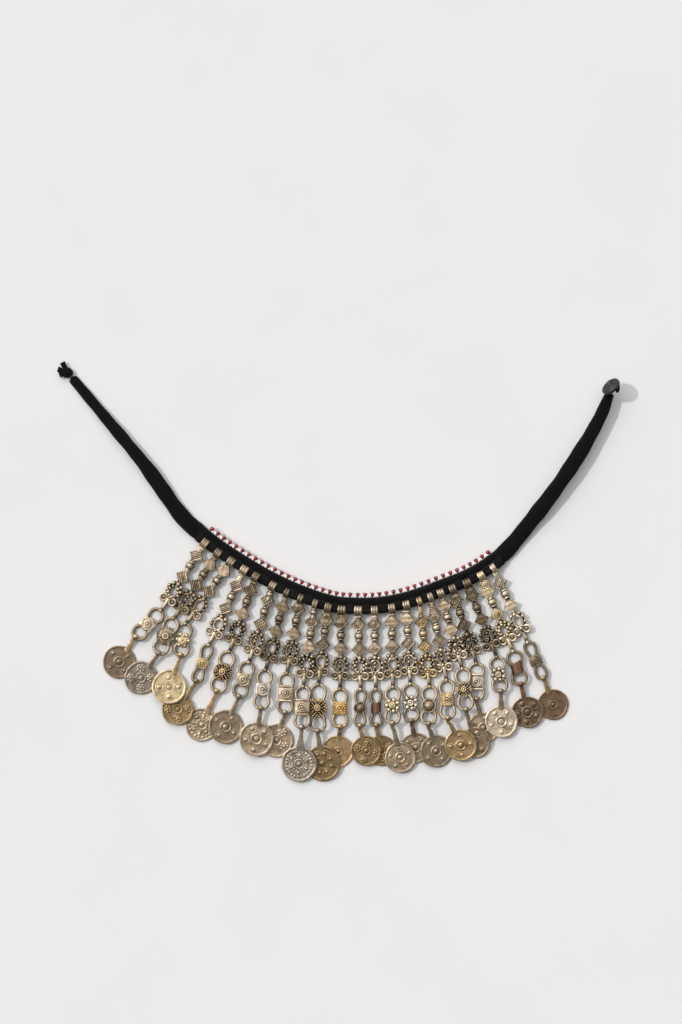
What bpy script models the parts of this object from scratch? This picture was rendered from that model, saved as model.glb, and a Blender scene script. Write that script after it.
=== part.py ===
# A bib necklace lying open and flat: a padded black cloth neck band whose middle carries
# a row of cast bars on a cord, each with an oval link and a stamped coin below it.
# Metres, +Z up. The necklace lies on the plane z = 0 and the neck opening is at +Y.

import math
from collections import namedtuple

import bmesh
import bpy
import numpy as np
from mathutils import Matrix, Vector
from mathutils.geometry import tessellate_polygon

MM = 0.001
GAP = 0.3 * MM  # between pieces that touch on the real necklace

# The neck band: one padded tube of knitted cloth, narrow at its ends
BAND_SPAN = 269.0 * MM  # from one end of the band to the other, straight across
BAND_DROP = 114.3 * MM  # from the left end down to the lowest point of the curve
STRAP_WIDTH = 7.6 * MM
STRAP_THICK = 3.2 * MM
END_LIFT = 4.5 * MM  # the stiff right end stands this far off the surface
LIFT_FROM = 0.80  # share of the band's length where that rise begins
BIB_WIDTH = 8.0 * MM  # roll, bails and cord together, across the bib
BIB_THICK = 4.2 * MM
BIB_START = 0.283  # share of the band's length where the bib begins
BIB_END = 0.722
BLEND = 0.007  # share of the length over which the strap narrows to the roll
BIB_STATIONS = 15

# The cord along the bib's lower edge, which the bails go round
CORD_RADIUS = 1.65 * MM
CORD_HEIGHT = 3.0 * MM  # its middle above the surface
CORD_MARGIN = 0.002  # share of the band's length that the cord stands inside the bib
EDGING_RADIUS = 0.95 * MM  # the seed-bead edging on the band's upper edge
EDGING_HEIGHT = 2.3 * MM
EDGING_MARGIN = 0.004  # share of the band's length that the edging stands inside the bib

# The bail at the head of each bar
BAIL_STRIP = 0.45 * MM
BAIL_WIDTH = 3.2 * MM

# The cast bar: flat plate with two diamonds, a ball and a pierced cluster
PLATE_THICK = 1.2 * MM
NECK_LENGTH = 7.0 * MM  # from the bail's middle to the first diamond's middle
NECK_HALF = 1.3 * MM
DIAMOND_HALF_WIDTH = 3.75 * MM
DIAMOND_HALF_HEIGHT = 3.8 * MM
DIAMOND_RELIEF = 0.35 * MM
DIAMOND_STEP = 12.4 * MM  # from one diamond's middle to the next one's
WAIST_HALF = 0.9 * MM
BALL_RADIUS = 2.5 * MM
BALL_DEPTH = 1.7 * MM  # the ball's half height above the bar's middle plane
BALL_LENGTH = 4.0 * MM
CLUSTER_LENGTH = 15.4 * MM  # from the second diamond's middle to the foot of the cluster
CLUSTER_HALF_WIDTH = 4.7 * MM
HEART_HALF_WIDTH = 1.65 * MM
HEART_HALF_HEIGHT = 2.6 * MM
EYE_RADIUS = 0.9 * MM  # the two small rings beside the hook
HOOK_LENGTH = 4.8 * MM
HOOK_HALF = 0.8 * MM
BAR_HEAD_HEIGHT = 2.6 * MM  # the plate's middle above the surface at the bail
HOOK_HEIGHT = 1.5 * MM  # and at the hook
BAR_ROLL = math.radians(13)  # each bar lies over the edge of the next

# The oval link with its boss
LINK_LENGTH = 18.5 * MM  # between the middles of the wire at its two ends
LINK_WIRE = 0.5 * MM  # half the wire's thickness
LINK_PINCH = 0.3  # how much narrower the link is at its waist, under the boss
LINK_ROLL = math.radians(10)  # each link lies over the edge of the next, as the bars do
LinkStyle = namedtuple("LinkStyle", "width boss_radius boss_sides")
LINKS = {
    "small": LinkStyle(6.3 * MM, 3.2 * MM, 8),
    "round": LinkStyle(8.2 * MM, 3.9 * MM, 8),
    "disc": LinkStyle(8.4 * MM, 4.7 * MM, 10),
    "square": LinkStyle(8.2 * MM, 3.7 * MM, 4),
}
BOSS_BASE = 0.65 * MM
BOSS_CROWN = 1.0 * MM
BOSS_TOP = 0.75  # share of the boss's radius that its flat crown takes

# The coin and its bail
COIN_RADIUS = 8.2 * MM
COIN_RIM = 1.1 * MM
COIN_FIELD = 0.75 * MM
COIN_BOSS_RADIUS = 2.6 * MM
COIN_BOSS_HEIGHT = 1.55 * MM
COIN_RELIEF = 0.5 * MM  # the small bosses between rim and middle, above the field
COIN_SIDES = 12
COIN_BAIL = 6.8 * MM  # from the coin's rim to the middle of the link's wire
LOOP_STRIP = 0.4 * MM
LOOP_CLEAR = 0.5 * MM
LOOP_WIDTH = 1.4 * MM
TAIL_THICK = 0.6 * MM
TAIL_LAP = 2.2 * MM  # how far the bail lies on the coin's face

# The button on the right end and the knot on the left one
BUTTON_RADIUS = 5.0 * MM
BUTTON_THICK = 1.8 * MM
BUTTON_RIM = 1.1 * MM
BUTTON_TILT = math.radians(62)
BUTTON_HEADING = math.radians(135)
BUTTON_LEAD = 2.2 * MM  # from the strap's end to the button's middle, along the strap
BUTTON_ASIDE = 1.3 * MM  # towards the neck
BUTTON_RISE = 3.9 * MM  # and upwards
STALK_RADIUS = 1.1 * MM
KNOT_RADIUS = 2.9 * MM
KNOT_DEPTH = 1.7 * MM
TAIL_RADIUS = 1.0 * MM
Tail = namedtuple("Tail", "turn length")  # degrees from the strap's own line
TAILS = [
    Tail(-14, 5.3 * MM),
    Tail(34, 4.8 * MM),
    Tail(74, 4.1 * MM),
]

# Where the band's middle line runs, as shares of its span and of its drop
RoutePoint = namedtuple("RoutePoint", "across down")
ROUTE = [
    RoutePoint(0.000, 0.000),
    RoutePoint(0.064, 0.179),
    RoutePoint(0.138, 0.389),
    RoutePoint(0.202, 0.599),
    RoutePoint(0.239, 0.682),
    RoutePoint(0.279, 0.755),
    RoutePoint(0.322, 0.820),
    RoutePoint(0.365, 0.879),
    RoutePoint(0.421, 0.941),
    RoutePoint(0.484, 0.990),
    RoutePoint(0.532, 1.000),
    RoutePoint(0.580, 0.995),
    RoutePoint(0.632, 0.969),
    RoutePoint(0.684, 0.925),
    RoutePoint(0.735, 0.878),
    RoutePoint(0.774, 0.825),
    RoutePoint(0.808, 0.759),
    RoutePoint(0.846, 0.652),
    RoutePoint(0.897, 0.494),
    RoutePoint(0.942, 0.337),
    RoutePoint(0.980, 0.179),
    RoutePoint(1.000, 0.066),
]

# How wide and thick the band is along its length, as shares of the strap's sizes
BandSection = namedtuple("BandSection", "along width thick")
BAND_SECTIONS = [
    BandSection(0.00, 0.60, 0.70),
    BandSection(0.05, 0.72, 0.85),
    BandSection(0.12, 0.80, 0.95),
    BandSection(0.19, 1.00, 1.00),
    BandSection(0.24, 1.05, 1.00),
    BandSection(0.76, 1.05, 1.00),
    BandSection(0.84, 1.00, 1.00),
    BandSection(0.92, 0.98, 0.95),
    BandSection(0.97, 0.80, 0.85),
    BandSection(1.00, 0.60, 0.75),
]

# The padded tube's outline, as shares of its half width and of its thickness
PAD_OUTLINE = [
    (-1.0, 0.40),
    (-0.82, 0.78),
    (-0.42, 0.97),
    (0.0, 1.0),
    (0.42, 0.97),
    (0.82, 0.78),
    (1.0, 0.40),
    (0.75, 0.0),
    (-0.75, 0.0),
]

# The strands from left to right. Leans are degrees to the right of straight down.
# neck, link_size, bail and coin_size are shares of NECK_LENGTH, LINK_LENGTH,
# COIN_BAIL and COIN_RADIUS. layer says which coins lie on which.
Strand = namedtuple(
    "Strand", "along lean neck link link_lean link_size coin_lean bail coin_size layer"
)
STRANDS = [
    Strand(0.291, -33, 1.10, "round", -44, 1.00, -33, 0.94, 1.01, 0),
    Strand(0.313, -34, 1.00, "disc", -24, 1.02, -35, 1.00, 1.01, 1),
    Strand(0.334, -36, 0.85, "round", -9, 0.87, -20, 1.18, 1.04, 2),
    Strand(0.355, -25, 1.30, "small", -19, 1.04, -34, 1.25, 0.98, 1),
    Strand(0.373, -19, 1.05, "disc", -18, 1.12, -24, 1.44, 1.02, 0),
    Strand(0.399, -17, 1.10, "round", -17, 0.96, -23, 1.13, 1.04, 1),
    Strand(0.420, -15, 1.10, "round", -7, 1.03, -8, 1.01, 1.05, 2),
    Strand(0.440, -10, 0.80, "square", -3, 1.07, -17, 0.87, 1.04, 0),
    Strand(0.461, -8, 1.35, "square", -1, 1.08, -5, 1.43, 1.08, 2),
    Strand(0.479, -7, 0.90, "disc", 0, 1.24, 7, 1.10, 1.10, 1),
    Strand(0.497, -1, 1.00, "square", 0, 1.03, -5, 0.62, 0.98, 0),
    Strand(0.519, 2, 1.00, "small", -1, 0.98, 14, 0.76, 0.92, 1),
    Strand(0.541, 1, 1.00, "small", 1, 0.98, 11, 0.75, 0.94, 0),
    Strand(0.564, 1, 1.00, "round", -1, 0.96, 13, 1.46, 0.94, 1),
    Strand(0.584, 3, 1.00, "round", 2, 1.00, 9, 0.88, 0.92, 0),
    Strand(0.602, 7, 1.50, "square", -3, 1.00, 17, 0.91, 0.99, 1),
    Strand(0.618, 11, 1.40, "square", 2, 1.00, 25, 1.04, 0.98, 2),
    Strand(0.633, 16, 0.95, "round", 6, 1.08, 14, 1.40, 0.96, 1),
    Strand(0.650, 18, 0.95, "square", 0, 0.97, 14, 1.01, 0.95, 0),
    Strand(0.671, 22, 1.05, "round", 6, 0.93, 2, 1.01, 0.99, 2),
    Strand(0.692, 23, 1.20, "round", 14, 0.92, 13, 0.93, 0.96, 1),
    Strand(0.711, 25, 1.20, "small", 24, 1.06, 20, 0.93, 0.94, 0),
]


def finish(name, colour, rough, metal):
    """A plain material of one colour."""
    material = bpy.data.materials.new(name)
    material.use_nodes = True
    shader = material.node_tree.nodes["Principled BSDF"]
    shader.inputs["Base Color"].default_value = (*colour, 1.0)
    shader.inputs["Roughness"].default_value = rough
    shader.inputs["Metallic"].default_value = metal
    return material


def solid(name, points, faces, material=None):
    """An object from points and faces, with its faces turned outwards."""
    mesh = bpy.data.meshes.new(name)
    bm = bmesh.new()
    corners = [bm.verts.new(point) for point in points]
    for face in faces:
        bm.faces.new([corners[i] for i in face])
    bmesh.ops.recalc_face_normals(bm, faces=bm.faces)
    bmesh.ops.triangulate(bm, faces=bm.faces)
    bm.to_mesh(mesh)
    bm.free()
    piece = bpy.data.objects.new(name, mesh)
    bpy.context.collection.objects.link(piece)
    if material:
        mesh.materials.append(material)
    return piece


def swept(name, rings, closed=False, material=None):
    """A tube through rings of points, closed on itself or with flat ends."""
    size = len(rings[0])
    points = [point for ring in rings for point in ring]
    faces = []
    for i in range(len(rings) if closed else len(rings) - 1):
        a = i * size
        b = (i + 1) % len(rings) * size
        for k in range(size):
            n = (k + 1) % size
            faces.append((a + k, a + n, b + n, b + k))
    if not closed:
        faces.append(tuple(range(size)))
        faces.append(tuple(range(len(points) - size, len(points))))
    return solid(name, points, faces, material)


def turned(name, profile, sides, squash=1.0, material=None):
    """A piece turned about Z from (radius, height) pairs that leave out the axis."""
    rings = []
    for radius, height in profile:
        turns = [math.tau * (k + 0.5) / sides for k in range(sides)]
        rings.append([(radius * math.cos(t), radius * math.sin(t) * squash, height) for t in turns])
    return swept(name, rings, material=material)


def plate(name, right, openings, peaks, thick):
    """A flat bar mirrored about its middle line, centred on z = 0.

    right is one side from head to foot, openings are cut through beyond the last peak,
    and peaks maps the first of three side points to the top of the diamond they bound.
    """
    side = [Vector((x, y, 0.0)) for x, y in right]
    mirrored = [Vector((-p.x, p.y, 0.0)) for p in side]
    holes = [[Vector((x, y, 0.0)) for x, y in loop] for loop in openings]
    flat = side + mirrored + [p for hole in holes for p in hole]
    count = len(side)
    size = len(flat)
    points = [(p.x, p.y, thick / 2) for p in flat] + [(p.x, p.y, -thick / 2) for p in flat]
    faces = []
    i = 0
    while i <= max(peaks):
        step = 2 if i in peaks else 1
        ring = [*range(i, i + step + 1), *range(count + i + step, count + i - 1, -1)]
        faces.append(tuple(k + size for k in ring))
        if i in peaks:
            points.append(peaks[i])
            top = len(points) - 1
            faces += [(top, a, b) for a, b in zip(ring, ring[1:] + ring[:1])]
        else:
            faces.append(tuple(ring))
        i += step
    outer = [*range(i, count), *range(2 * count - 1, count + i - 1, -1)]
    loops = [outer]
    for hole in holes:
        start = 2 * count + sum(len(loop) for loop in loops[1:])
        loops.append(list(range(start, start + len(hole))))
    order = [k for loop in loops for k in loop]
    for corners in tessellate_polygon([[flat[k] for k in loop] for loop in loops]):
        faces.append(tuple(order[k] for k in corners))
        faces.append(tuple(order[k] + size for k in corners))
    edge = [*range(count), *range(2 * count - 1, count - 1, -1)]
    for loop in [edge, *loops[1:]]:
        for a, b in zip(loop, loop[1:] + loop[:1]):
            faces.append((a, b, b + size, a + size))
    return solid(name, points, faces)


def strip_loop(name, inner, outer, width):
    """A six-sided loop of strip about X, 2 * inner from flat to flat inside, for a bail."""
    edge = 1 / math.cos(math.pi / 6)
    turns = [math.tau * (k + 0.5) / 6 for k in range(6)]
    rings = []
    for t in turns:
        c = math.cos(t) * edge
        s = math.sin(t) * edge
        rings.append(
            [
                (-width / 2, c * inner, s * inner),
                (width / 2, c * inner, s * inner),
                (width / 2, c * outer, s * outer),
                (-width / 2, c * outer, s * outer),
            ]
        )
    return swept(name, rings, closed=True)


def fused(name, pieces, material):
    """One body from solids that overlap."""
    base = pieces[0]
    others = bpy.data.collections.new("others")
    bpy.context.scene.collection.children.link(others)
    for other in pieces[1:]:
        others.objects.link(other)
    join = base.modifiers.new("join", "BOOLEAN")
    join.operation = "UNION"
    join.solver = "EXACT"
    join.operand_type = "COLLECTION"
    join.collection = others
    graph = bpy.context.evaluated_depsgraph_get()
    mesh = bpy.data.meshes.new_from_object(base.evaluated_get(graph), depsgraph=graph)
    for piece in pieces:
        bpy.data.objects.remove(piece)
    bpy.data.collections.remove(others)
    bm = bmesh.new()
    bm.from_mesh(mesh)
    bmesh.ops.dissolve_limit(bm, angle_limit=math.radians(0.2), verts=bm.verts, edges=bm.edges)
    bmesh.ops.triangulate(bm, faces=bm.faces)
    bm.to_mesh(mesh)
    bm.free()
    mesh.name = name
    mesh.materials.clear()
    mesh.materials.append(material)
    whole = bpy.data.objects.new(name, mesh)
    bpy.context.collection.objects.link(whole)
    return whole


def place(piece, matrix):
    """Moves the piece's own mesh, so that it can be fused where it lies."""
    piece.data.transform(matrix)
    return piece


def frame(origin, along, up):
    """The matrix whose Y axis is along, with Z as near to up as that allows."""
    y = along.normalized()
    x = y.cross(up).normalized()
    z = x.cross(y)
    return Matrix.Translation(origin) @ Matrix((x, y, z)).transposed().to_4x4()


def heading(degrees):
    """The level direction that leans this far to the right of straight down."""
    turn = math.radians(degrees)
    return Vector((math.sin(turn), -math.cos(turn), 0.0))


def smooth_line(points, steps):
    """Points along the smooth curve through the given ones."""
    ends = [2 * points[0] - points[1], *points, 2 * points[-1] - points[-2]]
    line = []
    for a, b, c, d in zip(ends, ends[1:], ends[2:], ends[3:]):
        for k in range(steps):
            t = k / steps
            line.append(
                0.5 * (2 * b + (c - a) * t + (2 * a - 5 * b + 4 * c - d) * t**2)
                + 0.5 * (3 * b - 3 * c + d - a) * t**3
            )
    line.append(points[-1])
    return np.array(line)


CURVE = smooth_line(
    [np.array([p.across * BAND_SPAN, -p.down * BAND_DROP]) for p in ROUTE], steps=12
)
TRAVEL = np.r_[0.0, np.cumsum(np.linalg.norm(np.diff(CURVE, axis=0), axis=1))]
BAND_LENGTH = TRAVEL[-1]


def on_band(along, inward=0.0, height=0.0):
    """A point at this share of the band's length, moved towards the neck by inward."""
    near = [
        Vector([float(np.interp(s * BAND_LENGTH, TRAVEL, CURVE[:, i])) for i in (0, 1)])
        for s in (along, max(along - 0.004, 0.0), min(along + 0.004, 1.0))
    ]
    tangent = (near[2] - near[1]).normalized()
    side = Vector((-tangent.y, tangent.x))
    middle = near[0] + side * inward
    return Vector((middle.x, middle.y, height)), Vector((tangent.x, tangent.y, 0.0))


def ease(value):
    """0 below 0, 1 above 1 and a smooth step between."""
    t = min(max(value, 0.0), 1.0)
    return t * t * (3 - 2 * t)


def in_bib(along):
    """How far the band is narrowed to the roll above the bails, from 0 to 1."""
    return ease((along - BIB_START + BLEND) / BLEND) * ease((BIB_END + BLEND - along) / BLEND)


CORD_INWARD = -BIB_WIDTH / 2 + CORD_RADIUS
BAIL_INNER = CORD_RADIUS + GAP
BAIL_OUTER = BAIL_INNER + BAIL_STRIP
ROLL_INWARD = CORD_INWARD + BAIL_OUTER + GAP


def bib_stations(margin):
    """Shares of the band's length across the bib, with the two ends drawn in by margin."""
    stations = np.linspace(BIB_START, BIB_END, BIB_STATIONS)
    stations[0] += margin
    stations[-1] -= margin
    return stations


def band_lift(along):
    return END_LIFT * ease((along - LIFT_FROM) / (1 - LIFT_FROM))


def neck_band(material):
    """The padded cloth band: both straps and the roll along the bib's upper edge."""
    shares = [section.along for section in BAND_SECTIONS]
    low, high = BIB_START - BLEND, BIB_END + BLEND
    stations = np.concatenate(
        [
            np.linspace(0.0, low, 7)[:-1],
            np.linspace(low, BIB_START, 3)[:-1],
            bib_stations(0.0)[:-1],
            np.linspace(BIB_END, high, 3)[:-1],
            np.linspace(high, 1.0, 8),
        ]
    )
    rings = []
    for along in stations:
        bib = in_bib(along)
        width = STRAP_WIDTH * np.interp(along, shares, [s.width for s in BAND_SECTIONS])
        thick = STRAP_THICK * np.interp(along, shares, [s.thick for s in BAND_SECTIONS])
        upper = width / 2 * (1 - bib) + BIB_WIDTH / 2 * bib
        lower = -width / 2 * (1 - bib) + ROLL_INWARD * bib
        thick = thick * (1 - bib) + BIB_THICK * bib
        middle = (upper + lower) / 2
        half = (upper - lower) / 2
        lift = band_lift(along)
        ring = [on_band(along, middle + u * half, lift + v * thick)[0] for u, v in PAD_OUTLINE]
        rings.append(ring)
    return swept("neck_band", rings, material=material)


def tube(name, margin, sides, inward, height, radius, material):
    """A round cord across the bib that keeps its distance from the band's middle line."""
    rings = []
    for along in bib_stations(margin):
        centre, tangent = on_band(along, inward, height)
        side = Vector((-tangent.y, tangent.x, 0.0))
        ring = []
        for k in range(sides):
            turn = math.tau * (k + 0.5) / sides
            ring.append(centre + radius * (side * math.cos(turn) + Vector((0, 0, math.sin(turn)))))
        rings.append(ring)
    return swept(name, rings, material=material)


def bar_outline(neck, start):
    """Half the bar's outline, its three openings and the tops of its two diamonds.

    Y runs down from the bail's middle.
    """
    first = neck
    second = first + DIAMOND_STEP
    foot = second + CLUSTER_LENGTH
    end = foot + HOOK_LENGTH
    slope = DIAMOND_HALF_HEIGHT / DIAMOND_HALF_WIDTH
    right = [
        (NECK_HALF, start),
        (NECK_HALF, first - (DIAMOND_HALF_WIDTH - NECK_HALF) * slope),
        (DIAMOND_HALF_WIDTH, first),
        (WAIST_HALF, first + (DIAMOND_HALF_WIDTH - WAIST_HALF) * slope),
        (WAIST_HALF, second - (DIAMOND_HALF_WIDTH - WAIST_HALF) * slope),
        (DIAMOND_HALF_WIDTH, second),
        (1.4 * NECK_HALF, second + 0.20 * CLUSTER_LENGTH),
        (0.78 * CLUSTER_HALF_WIDTH, second + 0.30 * CLUSTER_LENGTH),
        (0.60 * CLUSTER_HALF_WIDTH, second + 0.42 * CLUSTER_LENGTH),
        (0.64 * CLUSTER_HALF_WIDTH, second + 0.70 * CLUSTER_LENGTH),
        (CLUSTER_HALF_WIDTH, second + 0.85 * CLUSTER_LENGTH),
        (0.60 * CLUSTER_HALF_WIDTH, foot),
        (HOOK_HALF, foot - 0.03 * CLUSTER_LENGTH),
        (HOOK_HALF, end + LINK_WIRE * 1.2),
    ]
    heart_middle = second + 0.57 * CLUSTER_LENGTH
    eye_middle = second + 0.88 * CLUSTER_LENGTH
    eye_side = 0.61 * CLUSTER_HALF_WIDTH
    heart = [
        (HEART_HALF_WIDTH * x, heart_middle + HEART_HALF_HEIGHT * y)
        for x, y in [(0, -1), (1, 0), (0.5, 1), (-0.5, 1), (-1, 0)]
    ]
    turns = [math.tau * k / 5 for k in range(5)]
    eyes = [
        [
            (side + EYE_RADIUS * math.cos(t), eye_middle + EYE_RADIUS * math.sin(t))
            for t in turns
        ]
        for side in (-eye_side, eye_side)
    ]
    top = PLATE_THICK / 2 + DIAMOND_RELIEF
    peaks = {1: (0.0, first, top), 4: (0.0, second, top)}
    return right, [heart, *eyes], peaks


def ball(y):
    """The ball between the diamonds, turned about the bar's own line."""
    half = BALL_LENGTH / 2
    profile = [(0.6 * BALL_RADIUS, -half), (BALL_RADIUS, 0.0), (0.6 * BALL_RADIUS, half)]
    piece = turned("ball", profile, 10, squash=BALL_DEPTH / BALL_RADIUS)
    upright = Matrix.Rotation(-math.pi / 2, 4, "X")
    return place(piece, Matrix.Translation((0, y, 0)) @ upright)


def bar_pieces(row):
    """The bar's solids where they lie, and the point where its hook holds the link."""
    neck = row.neck * NECK_LENGTH
    length = neck + DIAMOND_STEP + CLUSTER_LENGTH + HOOK_LENGTH
    centre, tangent = on_band(row.along, CORD_INWARD, 0.0)
    way = heading(row.lean)
    hook = centre + way * length
    hook.z = HOOK_HEIGHT
    head = Vector((centre.x, centre.y, BAR_HEAD_HEIGHT))
    outward = Vector((tangent.y, -tangent.x, 0.0))
    askew = way.angle(outward)
    start = (BAIL_INNER + 0.1 * MM + NECK_HALF * math.sin(askew)) / math.cos(askew)
    right, openings, peaks = bar_outline(neck, start)
    ball_middle = neck + DIAMOND_STEP / 2 - 0.6 * MM
    pieces = [
        plate("bar", right, openings, peaks, PLATE_THICK),
        ball(ball_middle),
    ]
    lie = frame(head, hook - head, Vector((0, 0, 1))) @ Matrix.Rotation(BAR_ROLL, 4, "Y")
    for piece in pieces:
        place(piece, lie)
    bail = strip_loop("bail", BAIL_INNER, BAIL_OUTER, BAIL_WIDTH)
    seat = Vector((centre.x, centre.y, CORD_HEIGHT))
    place(bail, frame(seat, outward, Vector((0, 0, 1))))
    return [*pieces, bail], hook


def link_pieces(style, top, low):
    """The link of square wire from the hook to the coin's bail, and the boss on its waist."""
    length = (low - top).length
    reach = style.width / 2 - LINK_WIRE
    waist = (1 - LINK_PINCH) * reach
    turns = [math.radians(45 * k) for k in range(5)]
    path = [Vector((reach * math.cos(t), reach - reach * math.sin(t), 0)) for t in turns]
    path.append(Vector((-waist, length / 2, 0)))
    path += [
        Vector((-reach * math.cos(t), length - reach + reach * math.sin(t), 0)) for t in turns
    ]
    path.append(Vector((waist, length / 2, 0)))
    rings = []
    for i, point in enumerate(path):
        before = (point - path[i - 1]).normalized()
        after = (path[(i + 1) % len(path)] - point).normalized()
        run = (before + after).normalized()
        out = Vector((run.y, -run.x, 0))
        mitre = 1 / max(run.dot(before), 0.5)
        ring = []
        for side, rise in ((1, 1), (-1, 1), (-1, -1), (1, -1)):
            corner = out * (side * LINK_WIRE * mitre) + Vector((0, 0, rise * LINK_WIRE))
            ring.append(point + corner)
        rings.append(ring)
    wire = swept("wire", rings, closed=True)
    corner = 1 / math.cos(math.pi / style.boss_sides)
    wide = style.boss_radius * (corner if style.boss_sides == 4 else 1.0)
    boss = turned(
        "boss",
        [
            (wide, -BOSS_BASE),
            (BOSS_TOP * wide, BOSS_CROWN),
        ],
        style.boss_sides,
    )
    place(boss, Matrix.Translation((0, length / 2, 0)))
    lie = frame(top, low - top, Vector((0, 0, 1))) @ Matrix.Rotation(LINK_ROLL, 4, "Y")
    return [place(wire, lie), place(boss, lie)]


LOOP_INNER = LINK_WIRE + LOOP_CLEAR
LOOP_OUTER = LOOP_INNER + LOOP_STRIP
LOOP_HEIGHT = LOOP_OUTER / math.cos(math.pi / 6)


def coin_profile(radius):
    """The stamped coin's outline from its back to the top of its middle boss."""
    return [
        (radius, 0.0),
        (radius, COIN_RIM),
        (COIN_BOSS_RADIUS, COIN_FIELD),
        (0.6 * COIN_BOSS_RADIUS, COIN_BOSS_HEIGHT),
    ]


def coin_pieces(radius, reach, yaw):
    """The coin with its bail, lying at the origin with the bail towards +Y.

    The bail is one strip, from the coin's face over the link's wire and back under it.
    """
    disc = turned("disc", coin_profile(radius), COIN_SIDES)
    eye = Vector((0, radius + reach, LOOP_HEIGHT))
    bend = (LOOP_INNER + LOOP_STRIP / 2) / math.cos(math.pi / 6)
    thick = [TAIL_THICK] + [LOOP_STRIP] * 6
    path = [Vector((0, radius - TAIL_LAP, COIN_FIELD + 0.15 * MM))]
    for turn in (150, 90, 30, -30, -90, -140):
        angle = math.radians(turn)
        path.append(eye + bend * Vector((0, math.cos(angle), math.sin(angle))))
    rings = []
    for i, point in enumerate(path):
        before = (point - path[max(i - 1, 0)]) or (path[1] - path[0])
        after = (path[min(i + 1, len(path) - 1)] - point) or before
        run = (before.normalized() + after.normalized()).normalized()
        twist = Matrix.Rotation(yaw if i else 0.0, 3, "Z")
        across = twist @ Vector((LOOP_WIDTH / 2, 0, 0))
        out = Vector((0, -run.z, run.y)) * thick[i] / 2
        out = out / max(run.dot(after.normalized()), 0.5)
        spot = eye + twist @ (point - eye) if i else point
        out = twist @ out
        top = [spot + across + out, spot - across + out]
        rings.append([*top, spot - across - out, spot + across - out])
    return [disc, swept("bail", rings)]


def coin_surface(radius):
    """Points on a coin's face that another coin can rest on."""
    relief = COIN_FIELD + COIN_RELIEF
    rings = [
        (1.0, COIN_RIM),
        (0.9, COIN_RIM),
        (0.75, relief),
        (0.55, relief),
        (0.4, relief),
    ]
    rings = [(share * radius, height) for share, height in rings]
    rings += [(COIN_BOSS_RADIUS, COIN_FIELD), (0.6 * COIN_BOSS_RADIUS, COIN_BOSS_HEIGHT)]
    rings += [(0.0, COIN_BOSS_HEIGHT)]
    turns = np.arange(32) * math.tau / 32
    return np.array([(r * math.cos(t), r * math.sin(t), h) for r, h in rings for t in turns])


def settle(centre, towards, radius, reach, below):
    """The lowest way the coin can lie on the surface and on the coins below it.

    Returns its middle height and its slope along X and Y.
    """
    rim = np.array(
        [(radius * math.cos(t), radius * math.sin(t)) for t in np.arange(24) * math.tau / 24]
    )
    eye = np.array([towards.x, towards.y]) * (radius + reach)
    under = np.zeros((0, 3))
    if below:
        every = np.concatenate(below)
        offset = every - np.array([centre.x, centre.y, 0.0])
        under = offset[np.hypot(offset[:, 0], offset[:, 1]) < radius + GAP]
    best = None
    for tilt in range(0, 19):
        for turn in range(0, 360, 10):
            rise = math.tan(math.radians(tilt))
            slope = rise * np.array([math.cos(math.radians(turn)), math.sin(math.radians(turn))])
            lifts = [-(rim @ slope).min(), -(eye @ slope)]
            if len(under):
                lifts.append((under[:, 2] + GAP - under[:, :2] @ slope).max())
            middle = max(lifts)
            if best is None or middle < best[0] - 1e-7:
                best = (middle, slope)
    return best


def lie_of_coin(centre, towards, middle, slope):
    """The matrix that lays a coin on its plane with the bail pointing towards."""
    up = Vector((-slope[0], -slope[1], 1.0)).normalized()
    along = towards - up * towards.dot(up)
    return frame(Vector((centre.x, centre.y, middle)), along, up)


def strands(bar_metal, coin_metal):
    """Every bar with its link, and every coin, the lowest coins laid first."""
    spread = {}
    below = []
    order = sorted(range(len(STRANDS)), key=lambda i: (STRANDS[i].layer, i))
    for i in order:
        row = STRANDS[i]
        bar, hook = bar_pieces(row)
        radius = row.coin_size * COIN_RADIUS
        reach = row.bail * COIN_BAIL
        low = hook + heading(row.link_lean) * (row.link_size * LINK_LENGTH)
        centre = low + heading(row.coin_lean) * (radius + reach)
        towards = -heading(row.coin_lean)
        middle, slope = settle(centre, towards, radius, reach, below)
        lie = lie_of_coin(centre, towards, middle, slope)
        surface = coin_surface(radius)
        below.append(np.array([lie @ Vector(point) for point in surface]))
        eye = lie @ Vector((0, radius + reach, LOOP_HEIGHT))
        yaw = math.radians(row.link_lean - row.coin_lean)
        link = link_pieces(LINKS[row.link], hook, eye + heading(row.link_lean) * 0.12 * MM)
        spread[f"strand_{i + 1:02d}"] = fused(f"strand_{i + 1:02d}", [*bar, *link], bar_metal)
        coin = fused(f"coin_{i + 1:02d}", coin_pieces(radius, reach, yaw), coin_metal)
        place(coin, lie)
        spread[coin.name] = coin
    return spread


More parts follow.
